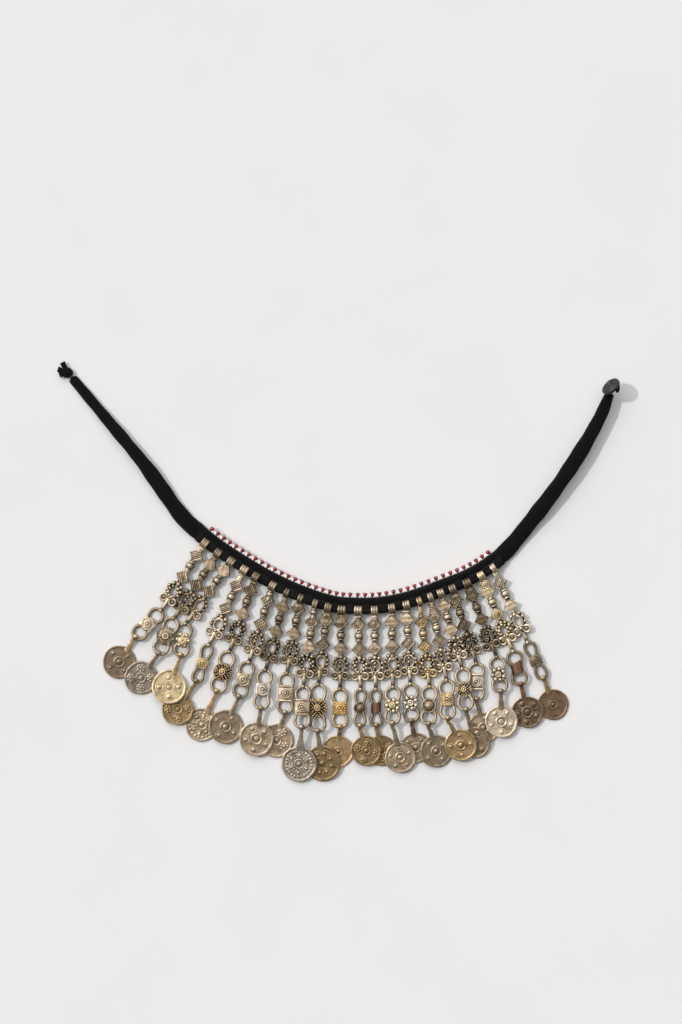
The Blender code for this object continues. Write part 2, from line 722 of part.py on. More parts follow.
def button(material):
    """The button that stands askew at the band's right end."""
    thick = STRAP_THICK * BAND_SECTIONS[-1].thick
    strap, tangent = on_band(1.0, 0.0, END_LIFT + thick / 2)
    middle = on_band(1.0, BUTTON_ASIDE, strap.z + BUTTON_RISE)[0] + tangent * BUTTON_LEAD
    face = Vector(
        (
            math.sin(BUTTON_TILT) * math.cos(BUTTON_HEADING),
            math.sin(BUTTON_TILT) * math.sin(BUTTON_HEADING),
            math.cos(BUTTON_TILT),
        )
    )
    half = BUTTON_THICK / 2
    disc = turned(
        "disc",
        [
            (BUTTON_RADIUS - 0.4 * MM, -half),
            (BUTTON_RADIUS, 0.0),
            (BUTTON_RADIUS - 0.3 * MM, half),
            (BUTTON_RADIUS - BUTTON_RIM, half),
            (BUTTON_RADIUS - 1.5 * BUTTON_RIM, 0.4 * half),
        ],
        14,
    )
    tilt = Vector((0, 0, 1)).rotation_difference(face).to_matrix().to_4x4()
    place(disc, Matrix.Translation(middle) @ tilt)
    back = middle - face * (0.5 * half)
    seat = strap + (back - strap).normalized() * 1.2 * MM
    stalk = turned("stalk", [(STALK_RADIUS, 0.0), (STALK_RADIUS, (back - seat).length)], 8)
    turn = Vector((0, 0, 1)).rotation_difference(back - seat).to_matrix().to_4x4()
    place(stalk, Matrix.Translation(seat) @ turn)
    return fused("button", [disc, stalk], material)


def end_knot(material):
    """The knot at the band's left end, with the stub tails of its cloth."""
    end, tangent = on_band(0.0, 0.0, 0.0)
    middle = end - tangent * (KNOT_RADIUS + GAP)
    middle.z = KNOT_DEPTH
    profile = [
        (KNOT_RADIUS * math.cos(t), KNOT_DEPTH * math.sin(t))
        for t in [math.radians(a) for a in (-60, 0, 60)]
    ]
    body = place(turned("body", profile, 10), Matrix.Translation(middle))
    pieces = [body]
    for row in TAILS:
        way = Matrix.Rotation(math.radians(row.turn), 4, "Z") @ -tangent
        tail = turned(
            "tail",
            [
                (TAIL_RADIUS, 0.0),
                (TAIL_RADIUS, 0.8 * row.length),
                (0.5 * TAIL_RADIUS, row.length),
            ],
            8,
        )
        lay = Vector((0, 0, 1)).rotation_difference(way).to_matrix().to_4x4()
        place(tail, Matrix.Translation(middle) @ lay)
        pieces.append(tail)
    return fused("end_knot", pieces, material)


def centre_on_box(pieces):
    """Moves everything so that the middle of its box stands over the origin."""
    corners = np.array([vertex.co for piece in pieces for vertex in piece.data.vertices])
    low = corners.min(axis=0)
    high = corners.max(axis=0)
    shift = Vector((-(low[0] + high[0]) / 2, -(low[1] + high[1]) / 2, -low[2]))
    for piece in pieces:
        place(piece, Matrix.Translation(shift))
        piece.data.shade_smooth()
        piece.data.set_sharp_from_angle(angle=math.radians(35))


def build():
    for thing in list(bpy.data.objects):
        bpy.data.objects.remove(thing)
    cloth = finish("black_cloth", (0.012, 0.011, 0.012), 0.9, 0.0)
    cord = finish("black_cord", (0.010, 0.010, 0.011), 0.85, 0.0)
    beads = finish("seed_beads", (0.75, 0.70, 0.66), 0.25, 0.0)
    bar_metal = finish("aged_nickel_silver", (0.34, 0.27, 0.18), 0.42, 1.0)
    coin_metal = finish("aged_coin_brass", (0.32, 0.26, 0.17), 0.45, 1.0)
    horn = finish("dark_button", (0.05, 0.05, 0.05), 0.4, 0.0)
    pieces = list(strands(bar_metal, coin_metal).values())
    pieces.append(neck_band(cloth))
    pieces.append(
        tube("bail_cord", CORD_MARGIN, 6, CORD_INWARD, CORD_HEIGHT, CORD_RADIUS, cord)
    )
    beyond = BIB_WIDTH / 2 + GAP + EDGING_RADIUS
    pieces.append(
        tube("bead_edging", EDGING_MARGIN, 5, beyond, EDGING_HEIGHT, EDGING_RADIUS, beads)
    )
    pieces.append(button(horn))
    pieces.append(end_knot(cloth))
    centre_on_box(pieces)


build()
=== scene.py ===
import math
import random
from collections import namedtuple

import bmesh
import bpy
import numpy as np
from mathutils import Matrix, Vector
from mathutils.bvhtree import BVHTree


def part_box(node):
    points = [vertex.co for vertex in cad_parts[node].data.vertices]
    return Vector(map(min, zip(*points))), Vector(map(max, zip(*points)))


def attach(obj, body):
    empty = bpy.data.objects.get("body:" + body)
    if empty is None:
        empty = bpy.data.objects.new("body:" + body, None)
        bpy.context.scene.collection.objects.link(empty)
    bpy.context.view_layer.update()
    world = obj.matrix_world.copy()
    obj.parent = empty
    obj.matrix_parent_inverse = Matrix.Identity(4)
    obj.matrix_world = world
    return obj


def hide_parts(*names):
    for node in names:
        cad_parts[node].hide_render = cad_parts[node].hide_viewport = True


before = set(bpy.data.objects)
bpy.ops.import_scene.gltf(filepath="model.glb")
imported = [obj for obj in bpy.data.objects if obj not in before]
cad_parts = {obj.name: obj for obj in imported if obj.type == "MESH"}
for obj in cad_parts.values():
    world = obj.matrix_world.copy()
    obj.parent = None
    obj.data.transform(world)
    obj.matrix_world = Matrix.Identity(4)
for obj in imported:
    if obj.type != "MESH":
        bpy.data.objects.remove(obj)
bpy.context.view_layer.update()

# The neck band
# A tube of black cotton, knitted in plain stitch and stuffed hard. Both straps narrow to
# their ends and arch a little off the table, and across the bib the tube is the roll that
# the beads and bails sit on.
MM = 0.001
UP = Vector((0.0, 0.0, 1.0))
BAND_SPAN = 269.0 * MM
BAND_DROP = 114.3 * MM
STRAP_WIDTH = 7.6 * MM
STRAP_THICK = 3.2 * MM
END_LIFT = 4.5 * MM
LIFT_FROM = 0.73
LIFT_TO = 0.88
ARCH_LIFT = 1.8 * MM
ARCH_END = 0.27
# The height of the tube's widest line, and how far its ends are rounded.
BELLY = 0.42
END_ROUND = 1.6 * MM
BIB_WIDTH = 8.0 * MM
BIB_THICK = 4.2 * MM
BIB_START = 0.283
BIB_END = 0.722
BLEND = 0.007
GAP = 0.3 * MM
CORD_RADIUS = 1.65 * MM
BAIL_STRIP = 0.45 * MM
BAIL_INNER = CORD_RADIUS + GAP
BAIL_OUTER = BAIL_INNER + BAIL_STRIP
CORD_INWARD = -BIB_WIDTH / 2 + CORD_RADIUS
ROLL_INWARD = CORD_INWARD + BAIL_OUTER + GAP
ROLL_LAP = 0.6 * MM
# The knit is drawn as coarse as it needs to be to show at this size.
STITCH = 1.1 * MM
WALE = 1.3 * MM
STREAK = 6.0 * MM
PLY = 0.35 * WALE
FLUFF = 0.7 * MM
SEAM = 0.001 * MM

RoutePoint = namedtuple("RoutePoint", "across down")
ROUTE = [RoutePoint(*pair) for pair in (
    (0.000, 0.000), (0.064, 0.179), (0.138, 0.389), (0.202, 0.599), (0.239, 0.682),
    (0.279, 0.755), (0.322, 0.820), (0.365, 0.879), (0.421, 0.941), (0.484, 0.990),
    (0.532, 1.000), (0.580, 0.995), (0.632, 0.969), (0.684, 0.925), (0.735, 0.878),
    (0.774, 0.825), (0.808, 0.759), (0.846, 0.652), (0.897, 0.494), (0.942, 0.337),
    (0.980, 0.179), (1.000, 0.066),
)]
BandSection = namedtuple("BandSection", "along width thick")
BAND_SECTIONS = [
    BandSection(0.00, 0.60, 0.70),
    BandSection(0.05, 0.72, 0.85),
    BandSection(0.12, 0.80, 0.95),
    BandSection(0.19, 1.00, 1.00),
    BandSection(0.24, 1.05, 1.00),
    BandSection(0.76, 1.05, 1.00),
    BandSection(0.84, 1.00, 1.00),
    BandSection(0.92, 0.98, 0.95),
    BandSection(0.97, 0.80, 0.85),
    BandSection(1.00, 0.60, 0.75),
]


def smooth_line(points, steps):
    """Points along the smooth curve through the given ones."""
    ends = [2 * points[0] - points[1], *points, 2 * points[-1] - points[-2]]
    line = []
    for a, b, c, d in zip(ends, ends[1:], ends[2:], ends[3:]):
        for k in range(steps):
            t = k / steps
            line.append(
                0.5 * (2 * b + (c - a) * t + (2 * a - 5 * b + 4 * c - d) * t**2)
                + 0.5 * (3 * b - 3 * c + d - a) * t**3
            )
    line.append(points[-1])
    return np.array(line)


curve = smooth_line(
    [np.array([p.across * BAND_SPAN, -p.down * BAND_DROP]) for p in ROUTE], steps=12
)
travel = np.r_[0.0, np.cumsum(np.linalg.norm(np.diff(curve, axis=0), axis=1))]
band_length = travel[-1]


def route_point(along, inward):
    """A point this far towards the neck from the band's middle line, and the way it runs."""
    shares = np.array([along, max(along - 0.004, 0.0), min(along + 0.004, 1.0)]) * band_length
    xs = np.interp(shares, travel, curve[:, 0])
    ys = np.interp(shares, travel, curve[:, 1])
    tangent = Vector((xs[2] - xs[1], ys[2] - ys[1], 0.0)).normalized()
    return Vector((xs[0] - tangent.y * inward, ys[0] + tangent.x * inward, 0.0)), tangent


half_tip = STRAP_WIDTH * BAND_SECTIONS[0].width / 2
band_low, band_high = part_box("neck_band")
left = band_low.x - route_point(0.0, -half_tip)[0].x
top = band_high.y - route_point(0.0, half_tip)[0].y
shift = Vector((left, top, 0.0))


def on_band(along, inward=0.0, height=0.0):
    """The same point set in the frame, at a height above the surface."""
    point, tangent = route_point(along, inward)
    return point + shift + UP * height, tangent


def ease(value):
    """0 below 0, 1 above 1 and a smooth step between."""
    t = min(max(value, 0.0), 1.0)
    return t * t * (3 - 2 * t)


def blunt(value, power):
    """A sine or cosine made blunter, which turns a circle into a rounded square."""
    return math.copysign(abs(value) ** power, value)


def band_size(along):
    """The band's lower and upper edge beside the middle line, its lift and its thickness."""
    shares = [section.along for section in BAND_SECTIONS]
    bib = ease((along - BIB_START + BLEND) / BLEND) * ease((BIB_END + BLEND - along) / BLEND)
    stuffing = 1 + 0.035 * math.sin(79 * along) + 0.025 * math.sin(187 * along + 1)
    width = STRAP_WIDTH * stuffing * np.interp(along, shares, [s.width for s in BAND_SECTIONS])
    thick = STRAP_THICK * np.interp(along, shares, [s.thick for s in BAND_SECTIONS])
    lower = -width / 2 * (1 - bib) + (ROLL_INWARD - ROLL_LAP) * bib
    upper = width / 2 * (1 - bib) + BIB_WIDTH / 2 * bib
    lift = END_LIFT * ease((along - LIFT_FROM) / (LIFT_TO - LIFT_FROM))
    lift += ARCH_LIFT * math.sin(math.pi * min(along / ARCH_END, 1)) ** 2
    return lower, upper, lift, thick * (1 - bib) + BIB_THICK * bib


def linear(code):
    """An sRGB hex colour as linear red, green, blue and alpha."""
    shares = [int(code[i : i + 2], 16) / 255 for i in (1, 3, 5)]
    return (*[c / 12.92 if c <= 0.04045 else ((c + 0.055) / 1.055) ** 2.4 for c in shares], 1.0)


def feed(tree, node, inputs):
    """Sets a node's inputs, each to a value or by a link from another node's output."""
    for key, value in inputs.items():
        if isinstance(value, bpy.types.NodeSocket):
            tree.links.new(value, node.inputs[key])
        else:
            node.inputs[key].default_value = value


def add_node(tree, kind, inputs, output=0, **settings):
    """Adds a shader node with its settings, values and links, and gives back one output."""
    node = tree.nodes.new("ShaderNode" + kind)
    for key, value in settings.items():
        setattr(node, key, value)
    feed(tree, node, inputs)
    return node.outputs[output]


def new_finish(name):
    """A new material, its node tree and its shader."""
    material = bpy.data.materials.new(name)
    material.use_nodes = True
    return material, material.node_tree, material.node_tree.nodes["Principled BSDF"]


def sheet_grid(name, cells_u, cells_v, place):
    """An open sheet: a grid primitive with each corner moved to place(u, v)."""
    bpy.ops.object.select_all(action="DESELECT")
    bpy.ops.mesh.primitive_grid_add(x_subdivisions=cells_u, y_subdivisions=cells_v, size=2.0)
    sheet = bpy.context.object
    sheet.name = name
    for corner in sheet.data.vertices:
        corner.co = place((corner.co.x + 1) / 2, (corner.co.y + 1) / 2)
    return sheet


def shaped_grid(name, cells_u, cells_v, place):
    """A sheet that closes on itself, with its seams merged and its ends filled."""
    piece = sheet_grid(name, cells_u, cells_v, place)
    bpy.ops.object.mode_set(mode="EDIT")
    bpy.ops.mesh.select_all(action="SELECT")
    bpy.ops.mesh.remove_doubles(threshold=SEAM)
    bpy.ops.mesh.select_all(action="SELECT")
    bpy.ops.mesh.fill_holes(sides=0)
    bpy.ops.mesh.select_all(action="SELECT")
    bpy.ops.mesh.normals_make_consistent(inside=False)
    bpy.ops.object.mode_set(mode="OBJECT")
    return piece


def knitted_cotton(name, length, girth):
    """Black cotton yarn in plain stitch: matt, each loop a small V with a faint grey bloom."""
    material, tree, shader = new_finish(name)
    uv = add_node(tree, "UVMap", {}, uv_map="UVMap")
    knit = add_node(tree, "Mapping", {"Vector": uv, "Scale": (length / STITCH, girth / WALE, 1.0)})
    rows = add_node(tree, "SeparateXYZ", {"Vector": knit})
    leg = add_node(tree, "Math", {0: rows.node.outputs["Y"]}, operation="FRACT")
    side = add_node(tree, "Math", {0: leg, 1: 0.5}, operation="SUBTRACT")
    slant = add_node(tree, "Math", {0: side}, operation="ABSOLUTE")
    course = add_node(tree, "Math", {0: slant, 1: 1.6, 2: rows}, operation="MULTIPLY_ADD")
    turn = add_node(tree, "Math", {0: course, 1: math.tau}, operation="MULTIPLY")
    wave = add_node(tree, "Math", {0: turn}, operation="SINE")
    legs = add_node(tree, "Math", {0: leg, 1: math.tau}, operation="MULTIPLY")
    both = add_node(tree, "Math", {0: legs}, operation="SINE")
    rise = add_node(tree, "Math", {0: both}, operation="ABSOLUTE")
    loop = add_node(tree, "Math", {0: wave, 1: rise}, operation="MULTIPLY")
    place = add_node(tree, "TexCoord", {}, "Object")
    fluff = add_node(tree, "TexNoise", {"Vector": place, "Scale": 1 / FLUFF, "Detail": 3.0})
    drawn = add_node(tree, "Mapping", {"Vector": uv, "Scale": (length / STREAK, girth / PLY, 1.0)})
    streak = add_node(tree, "TexNoise", {"Vector": drawn, "Scale": 1.0, "Detail": 2.0})
    ridged = add_node(tree, "Math", {0: streak, 1: 2.2, 2: loop}, operation="MULTIPLY_ADD")
    height = add_node(tree, "Math", {0: fluff, 1: 0.8, 2: ridged}, operation="MULTIPLY_ADD")
    shade = add_node(tree, "MapRange", {"Value": height, "From Min": 0.7, "From Max": 2.5})
    tones = {0: shade, 6: linear("#060506"), 7: linear("#1C191B")}
    colour = add_node(tree, "Mix", tones, 2, data_type="RGBA")
    bump = add_node(tree, "Bump", {"Height": height, "Strength": 0.9, "Distance": 0.22 * MM})
    feed(tree, shader, {"Base Color": colour, "Normal": bump, "Roughness": 0.9})
    feed(tree, shader, {"Specular IOR Level": 0.12, "Sheen Weight": 0.03, "Sheen Roughness": 0.5})
    return material


def band_skin(u, v):
    """A point on the stuffed tube: u runs along it and v round it."""
    lower, upper, lift, thick = band_size(u)
    turn = math.tau * v
    across = blunt(math.cos(turn), 0.85)
    above = math.sin(turn)
    rise = BELLY + ((1 - BELLY) * above if above > 0 else -BELLY * abs(above) ** 0.6)
    near_end = min(u, 1 - u) * band_length / END_ROUND
    round_off = math.sqrt(max(1 - (1 - min(near_end, 1.0)) ** 2, 0.03))
    half = (upper - lower) / 2 * round_off
    middle = (upper + lower) / 2
    height = lift + thick * (BELLY + (rise - BELLY) * round_off)
    return on_band(u, middle + across * half, height)[0]


cotton = knitted_cotton("knitted_black_cotton", band_length, math.pi * 0.8 * STRAP_WIDTH)
band = shaped_grid("padded_neck_band", 300, 22, band_skin)
band.data.materials.append(cotton)
band.data.shade_smooth()
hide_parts("neck_band")
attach(band, "root")

# The bead edging
# White glass seed beads lie in pairs along the band's upper edge. Between the pairs the
# thread comes up through one dark red bead, so that the reds stand proud like a picot.
BEAD_PITCH = 3.87 * MM
EDGING_MARGIN = 0.004
WHITE_RADIUS = 1.00 * MM
WHITE_LENGTH = 1.62 * MM
RED_RADIUS = 1.18 * MM
RED_LENGTH = 2.20 * MM
RED_PROUD = 0.55 * MM
WHITE_INWARD = BIB_WIDTH / 2 + 0.85 * MM
BEAD_HEIGHT = 2.8 * MM
GLASS_CLOUD = 3.0 * MM


def clouded(tree, size, detail, low, high, spread=(0.0, 1.0)):
    """A colour that drifts between two tones in clouds of this size."""
    place = add_node(tree, "TexCoord", {}, "Object")
    cloud = add_node(tree, "TexNoise", {"Vector": place, "Scale": 1 / size, "Detail": detail})
    tone = add_node(tree, "MapRange", {"Value": cloud, "From Min": spread[0], "From Max": spread[1]})
    tones = {0: tone, 6: linear(low), 7: linear(high)}
    return add_node(tree, "Mix", tones, 2, data_type="RGBA")


def seed_glass(name, code, deep):
    """Opaque drawn glass, cut short and fire-rounded: glossy, each bead a shade apart."""
    material, tree, shader = new_finish(name)
    colour = clouded(tree, GLASS_CLOUD, 2.0, deep, code, (0.35, 0.65))
    feed(tree, shader, {"Base Color": colour, "Roughness": 0.16, "Coat Weight": 0.4})
    return material


def frame_at(origin, along, up):
    """The matrix whose Y axis is along, with Z as near to up as that allows."""
    y = along.normalized()
    x = y.cross(up).normalized()
    z = x.cross(y)
    return Matrix.Translation(origin) @ Matrix((x, y, z)).transposed().to_4x4()


def joined(name, parts):
    """One object from several, with its place in its mesh."""
    bpy.ops.object.select_all(action="DESELECT")
    for part in parts:
        part.select_set(True)
    bpy.context.view_layer.objects.active = parts[0]
    bpy.ops.object.join()
    whole = bpy.context.object
    whole.name = name
    bpy.ops.object.transform_apply(location=True, rotation=True, scale=True)
    return whole


def copies(name, master, places):
    """One object that holds a copy of the master's mesh at each place."""
    count = len(master.data.vertices)
    points = np.empty(count * 3)
    master.data.vertices.foreach_get("co", points)
    points = np.c_[points.reshape(-1, 3), np.ones(count)]
    faces = [tuple(p.vertices) for p in master.data.polygons]
    every = [(points @ np.array(place).T)[:, :3] for place in places]
    mesh = bpy.data.meshes.new(name)
    mesh.from_pydata(
        np.concatenate(every).tolist(),
        [],
        [tuple(i + k * count for i in face) for k in range(len(places)) for face in faces],
    )
    piece = bpy.data.objects.new(name, mesh)
    bpy.context.scene.collection.objects.link(piece)
    return piece


def seed_bead(name, radius, length):
    """A short round bead about Y: a ring with a fine hole."""
    bpy.ops.object.select_all(action="DESELECT")
    hole = 0.22 * radius
    minor = (radius - hole) / 2
    bpy.ops.mesh.primitive_torus_add(
        major_segments=12, minor_segments=8, major_radius=hole + minor, minor_radius=minor
    )
    bead = bpy.context.object
    bead.name = name
    bead.scale = (1.0, 1.0, length / 2 / minor)
    bead.rotation_euler = (math.pi / 2, 0.0, 0.0)
    bpy.ops.object.transform_apply(location=True, rotation=True, scale=True)
    return bead


edging_length = (BIB_END - BIB_START - 2 * EDGING_MARGIN) * band_length
pitches = round(edging_length / BEAD_PITCH)
pair_places = []
picot_places = []
for k in range(pitches + 1):
    share = BIB_START + EDGING_MARGIN + k * edging_length / pitches / band_length
    spot, way = on_band(share, WHITE_INWARD + RED_PROUD, BEAD_HEIGHT + 0.1 * MM)
    picot_places.append(frame_at(spot, way, UP))
    if k == pitches:
        break
    for side in (-0.5, 0.5):
        step = (BEAD_PITCH / 2 + side * WHITE_LENGTH) / band_length
        spot, way = on_band(share + step, WHITE_INWARD, BEAD_HEIGHT)
        pair_places.append(frame_at(spot, way, UP))
white = seed_bead("white_bead", WHITE_RADIUS, WHITE_LENGTH)
whites = copies("white_seed_beads", white, pair_places)
whites.data.materials.append(seed_glass("white_seed_glass", "#FFFFFF", "#F1EEEA"))
red = seed_bead("red_bead", RED_RADIUS, RED_LENGTH)
reds = copies("red_seed_beads", red, picot_places)
reds.data.materials.append(seed_glass("dark_red_seed_glass", "#9A0F1E", "#6C0914"))
for master in (white, red):
    bpy.data.objects.remove(master)
for string in (whites, reds):
    string.data.shade_smooth()
    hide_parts("bead_edging")
    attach(string, "root")

# The bail cord
# A black cotton cord below the roll, which every bail is threaded on. Black thread is
# wound round cord and roll together between the bails, and keeps them apart.
CORD_MARGIN = 0.002
# Real thread lies closer, and would not show.
THREAD_PITCH = 0.55 * MM
WRAP_ROUND = 0.25 * MM
WRAP_SHORT = 0.08
WRAP_REACH = 0.006
cord_low, cord_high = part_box("bail_cord")
cord_height = (cord_low.z + cord_high.z) / 2

Strand = namedtuple("Strand", "along lean neck link link_lean coin_lean bail coin_size strip")
STRANDS = [Strand(*row) for row in (
    (0.291, -33, 1.10, "round", -44, -33, 0.94, 1.01, "middle"),
    (0.313, -34, 1.00, "disc", -24, -35, 1.00, 1.01, "middle"),
    (0.334, -36, 0.85, "round", -9, -20, 1.18, 1.04, "broad"),
    (0.355, -25, 1.30, "small", -19, -34, 1.25, 0.98, "broad"),
    (0.373, -19, 1.05, "disc", -18, -24, 1.44, 1.02, "middle"),
    (0.399, -17, 1.10, "round", -17, -23, 1.13, 1.04, "middle"),
    (0.420, -15, 1.10, "round", -7, -8, 1.01, 1.05, "narrow"),
    (0.440, -10, 0.80, "square", -3, -17, 0.87, 1.04, "narrow"),
    (0.461, -8, 1.35, "square", -1, -5, 1.43, 1.08, "narrow"),
    (0.479, -7, 0.90, "disc", 0, 7, 1.10, 1.10, "middle"),
    (0.497, -1, 1.00, "square", 0, -5, 0.62, 0.98, "broad"),
    (0.519, 2, 1.00, "small", -1, 14, 0.76, 0.92, "broad"),
    (0.541, 1, 1.00, "small", 1, 11, 0.75, 0.94, "middle"),
    (0.564, 1, 1.00, "round", -1, 13, 1.46, 0.94, "middle"),
    (0.584, 3, 1.00, "round", 2, 9, 0.88, 0.92, "middle"),
    (0.602, 7, 1.50, "square", -3, 17, 0.91, 0.99, "narrow"),
    (0.618, 11, 1.40, "square", 2, 25, 1.04, 0.98, "narrow"),
    (0.633, 16, 0.95, "round", 6, 14, 1.40, 0.96, "middle"),
    (0.650, 18, 0.95, "square", 0, 14, 1.01, 0.95, "middle"),
    (0.671, 22, 1.05, "round", 6, 2, 1.01, 0.99, "broad"),
    (0.692, 23, 1.20, "round", 14, 13, 0.93, 0.96, "middle"),
    (0.711, 25, 1.20, "small", 24, 20, 0.93, 0.94, "narrow"),
)]
Strip = namedtuple("Strip", "width reeds")
STRIPS = {
    "broad": Strip(4.0 * MM, 3),
    "middle": Strip(3.5 * MM, 3),
    "narrow": Strip(2.7 * MM, 2),
}


def wound_thread(name, length):
    """Waxed black cotton thread wound side by side: fine dark ribs with a slight gloss."""
    material, tree, shader = new_finish(name)
    uv = add_node(tree, "UVMap", {}, uv_map="UVMap")
    turns = {"Vector": uv, "Scale": length / THREAD_PITCH / math.tau, "Distortion": 0.4}
    ribs = add_node(tree, "TexWave", turns, "Fac", bands_direction="X")
    tones = {0: ribs, 6: linear("#060506"), 7: linear("#181517")}
    colour = add_node(tree, "Mix", tones, 2, data_type="RGBA")
    bump = add_node(tree, "Bump", {"Height": ribs, "Strength": 0.8, "Distance": 0.15 * MM})
    feed(tree, shader, {"Base Color": colour, "Normal": bump})
    feed(tree, shader, {"Roughness": 0.8, "Specular IOR Level": 0.2})
    return material


def cord_skin(u, v):
    """A point on the cord itself."""
    share = BIB_START + CORD_MARGIN + u * (BIB_END - BIB_START - 2 * CORD_MARGIN)
    turn = math.tau * v
    side = CORD_INWARD + CORD_RADIUS * math.cos(turn)
    return on_band(share, side, cord_height + CORD_RADIUS * math.sin(turn))[0]


def wrap_skin(start, end):
    """Points on one winding, which goes round the cord and the foot of the roll."""
    outer = CORD_INWARD - CORD_RADIUS - WRAP_ROUND
    inner = ROLL_INWARD + 1.2 * MM
    reach = (inner - outer) / 2
    tall = CORD_RADIUS + WRAP_ROUND

    def skin(u, v):
        turn = math.tau * v
        swell = 1 - WRAP_SHORT * abs(2 * u - 1) ** 4
        side = (inner + outer) / 2 + reach * math.cos(turn) * (swell if math.cos(turn) < 0 else 1)
        height = cord_height - 0.35 * MM + tall * math.sin(turn) * swell
        return on_band(start + u * (end - start), side, height)[0]

    return skin


thread = wound_thread("wound_black_thread", 5.0 * MM)
cord = shaped_grid("bail_cord_core", 150, 14, cord_skin)
starts = [BIB_START - WRAP_REACH]
stops = []
for row in STRANDS:
    clear = (STRIPS[row.strip].width / 2 + 0.12 * MM) / band_length
    stops.append(row.along - clear)
    starts.append(row.along + clear)
stops.append(BIB_END + WRAP_REACH)
windings = [
    shaped_grid(f"winding_{i:02d}", 10, 18, wrap_skin(start, stop))
    for i, (start, stop) in enumerate(zip(starts, stops))
    if stop - start > 0.001
]
wound = joined("wound_thread", windings)
for piece in (cord, wound):
    piece.data.materials.append(thread)
    piece.data.shade_smooth()
    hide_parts("bail_cord")
    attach(piece, "root")

# The bars
# Each bar is cast in one piece in old nickel silver or brass: a reeded bail, a neck, a
# chased lozenge, a ball between collars, a second lozenge, and a pierced cluster of balls
# and rings with a hook at its foot. The creases, and the sides that do not face up, are
# drawn dark as painted shade mixed with black patina, and the tops are worn.
NECK_LENGTH = 7.0 * MM
NECK_HALF = 1.3 * MM
NECK_LAP = 0.45
DIAMOND_HALF = 3.85 * MM
DIAMOND_STEP = 12.4 * MM
PLATE_HALF = 0.6 * MM
RELIEF = 0.35 * MM
GROOVE = 0.32 * MM
REED = 0.22 * MM
REEDED_SHARE = 0.8
BALL_RADIUS = 2.35 * MM
BALL_DEPTH = 1.75 * MM
BALL_UP = 0.4 * MM
CLUSTER_LENGTH = 15.4 * MM
CLUSTER_HALF_WIDTH = 4.7 * MM
HEART_DOWN = 8.7 * MM
EYE_SHARE = 0.88
EYE_ASIDE = 0.55 * CLUSTER_HALF_WIDTH
HOOK_LENGTH = 4.8 * MM
HOOK_WIDTH = 1.8 * MM
BAR_HEAD_HEIGHT = 2.6 * MM
HOOK_HEIGHT = 1.5 * MM
BAR_ROLL = math.radians(13)
# Rays cast from each point find how closed in it lies; the material draws closed-in points dark,
# which is painted shade mixed with patina.
RAY_REACH = 1.6 * MM
FINE_REACH = 0.45 * MM
# How much darker the sides that do not face up are drawn: painted shade.
SIDE_SHADE = 0.50
RAY_START = 0.03 * MM
# Rings of rays: how far each leans from the surface's normal, and how many it has.
RayRing = namedtuple("RayRing", "lean count")
RAY_RINGS = [RayRing(0.35, 3), RayRing(0.95, 5), RayRing(1.3, 6)]
UPRIGHT = (math.pi / 2, 0.0, 0.0)
STAIN = "#7A6248"
STAIN_SIZE = 4.0 * MM
PATCH = 2.4 * MM
# Finer pits would not show.
GRAIN = 0.5 * MM
CAST_CREASE = math.radians(38)


def aged_metal(name, tarnish, body, worn, rough):
    """Old cast or stamped alloy: dark in the creases and on the sides, which is painted shade mixed
    with black patina, dull on the flats, bright on the worn edges.
    """
    material, tree, shader = new_finish(name)
    open_air = add_node(tree, "Attribute", {}, "Fac", attribute_name="openness")
    rubbed = add_node(tree, "Attribute", {}, "Fac", attribute_name="rubbed")
    place = add_node(tree, "TexCoord", {}, "Object")
    patch, grain, stain = [
        add_node(tree, "TexNoise", {"Vector": place, "Scale": 1 / size, "Detail": detail})
        for size, detail in ((PATCH, 4.0), (GRAIN, 3.0), (STAIN_SIZE, 2.0))
    ]
    # Closed-in points take the first colour, which is painted shade mixed with patina.
    uneven = add_node(tree, "Math", {0: patch, 1: 1.3, 2: open_air}, operation="MULTIPLY_ADD")
    speckled = add_node(tree, "Math", {0: grain, 1: 0.55, 2: uneven}, operation="MULTIPLY_ADD")
    clean_and_lit = add_node(tree, "MapRange", {"Value": speckled, "From Min": 1.22, "From Max": 2.00})
    touched = add_node(tree, "Math", {0: grain, 1: 0.45, 2: rubbed}, operation="MULTIPLY_ADD")
    edge = add_node(tree, "MapRange", {"Value": touched, "From Min": 0.26, "From Max": 0.80})
    bright = add_node(tree, "Math", {0: edge, 1: clean_and_lit}, operation="MULTIPLY")
    blot = {"Value": stain, "From Min": 0.48, "From Max": 0.72, "To Max": 0.6}
    stained = add_node(tree, "MapRange", blot)
    skin = add_node(tree, "Mix", {0: stained, 6: linear(body), 7: linear(STAIN)}, 2, data_type="RGBA")
    base = add_node(tree, "Mix", {0: clean_and_lit, 6: linear(tarnish), 7: skin}, 2, data_type="RGBA")
    colour = add_node(tree, "Mix", {0: bright, 6: base, 7: linear(worn)}, 2, data_type="RGBA")
    gloss = add_node(tree, "MapRange", {"Value": bright, "To Min": 0.50, "To Max": rough})
    bump = add_node(tree, "Bump", {"Height": grain, "Strength": 0.45, "Distance": 0.10 * MM})
    feed(tree, shader, {"Base Color": colour, "Roughness": gloss, "Normal": bump, "Metallic": 0.9})
    return material


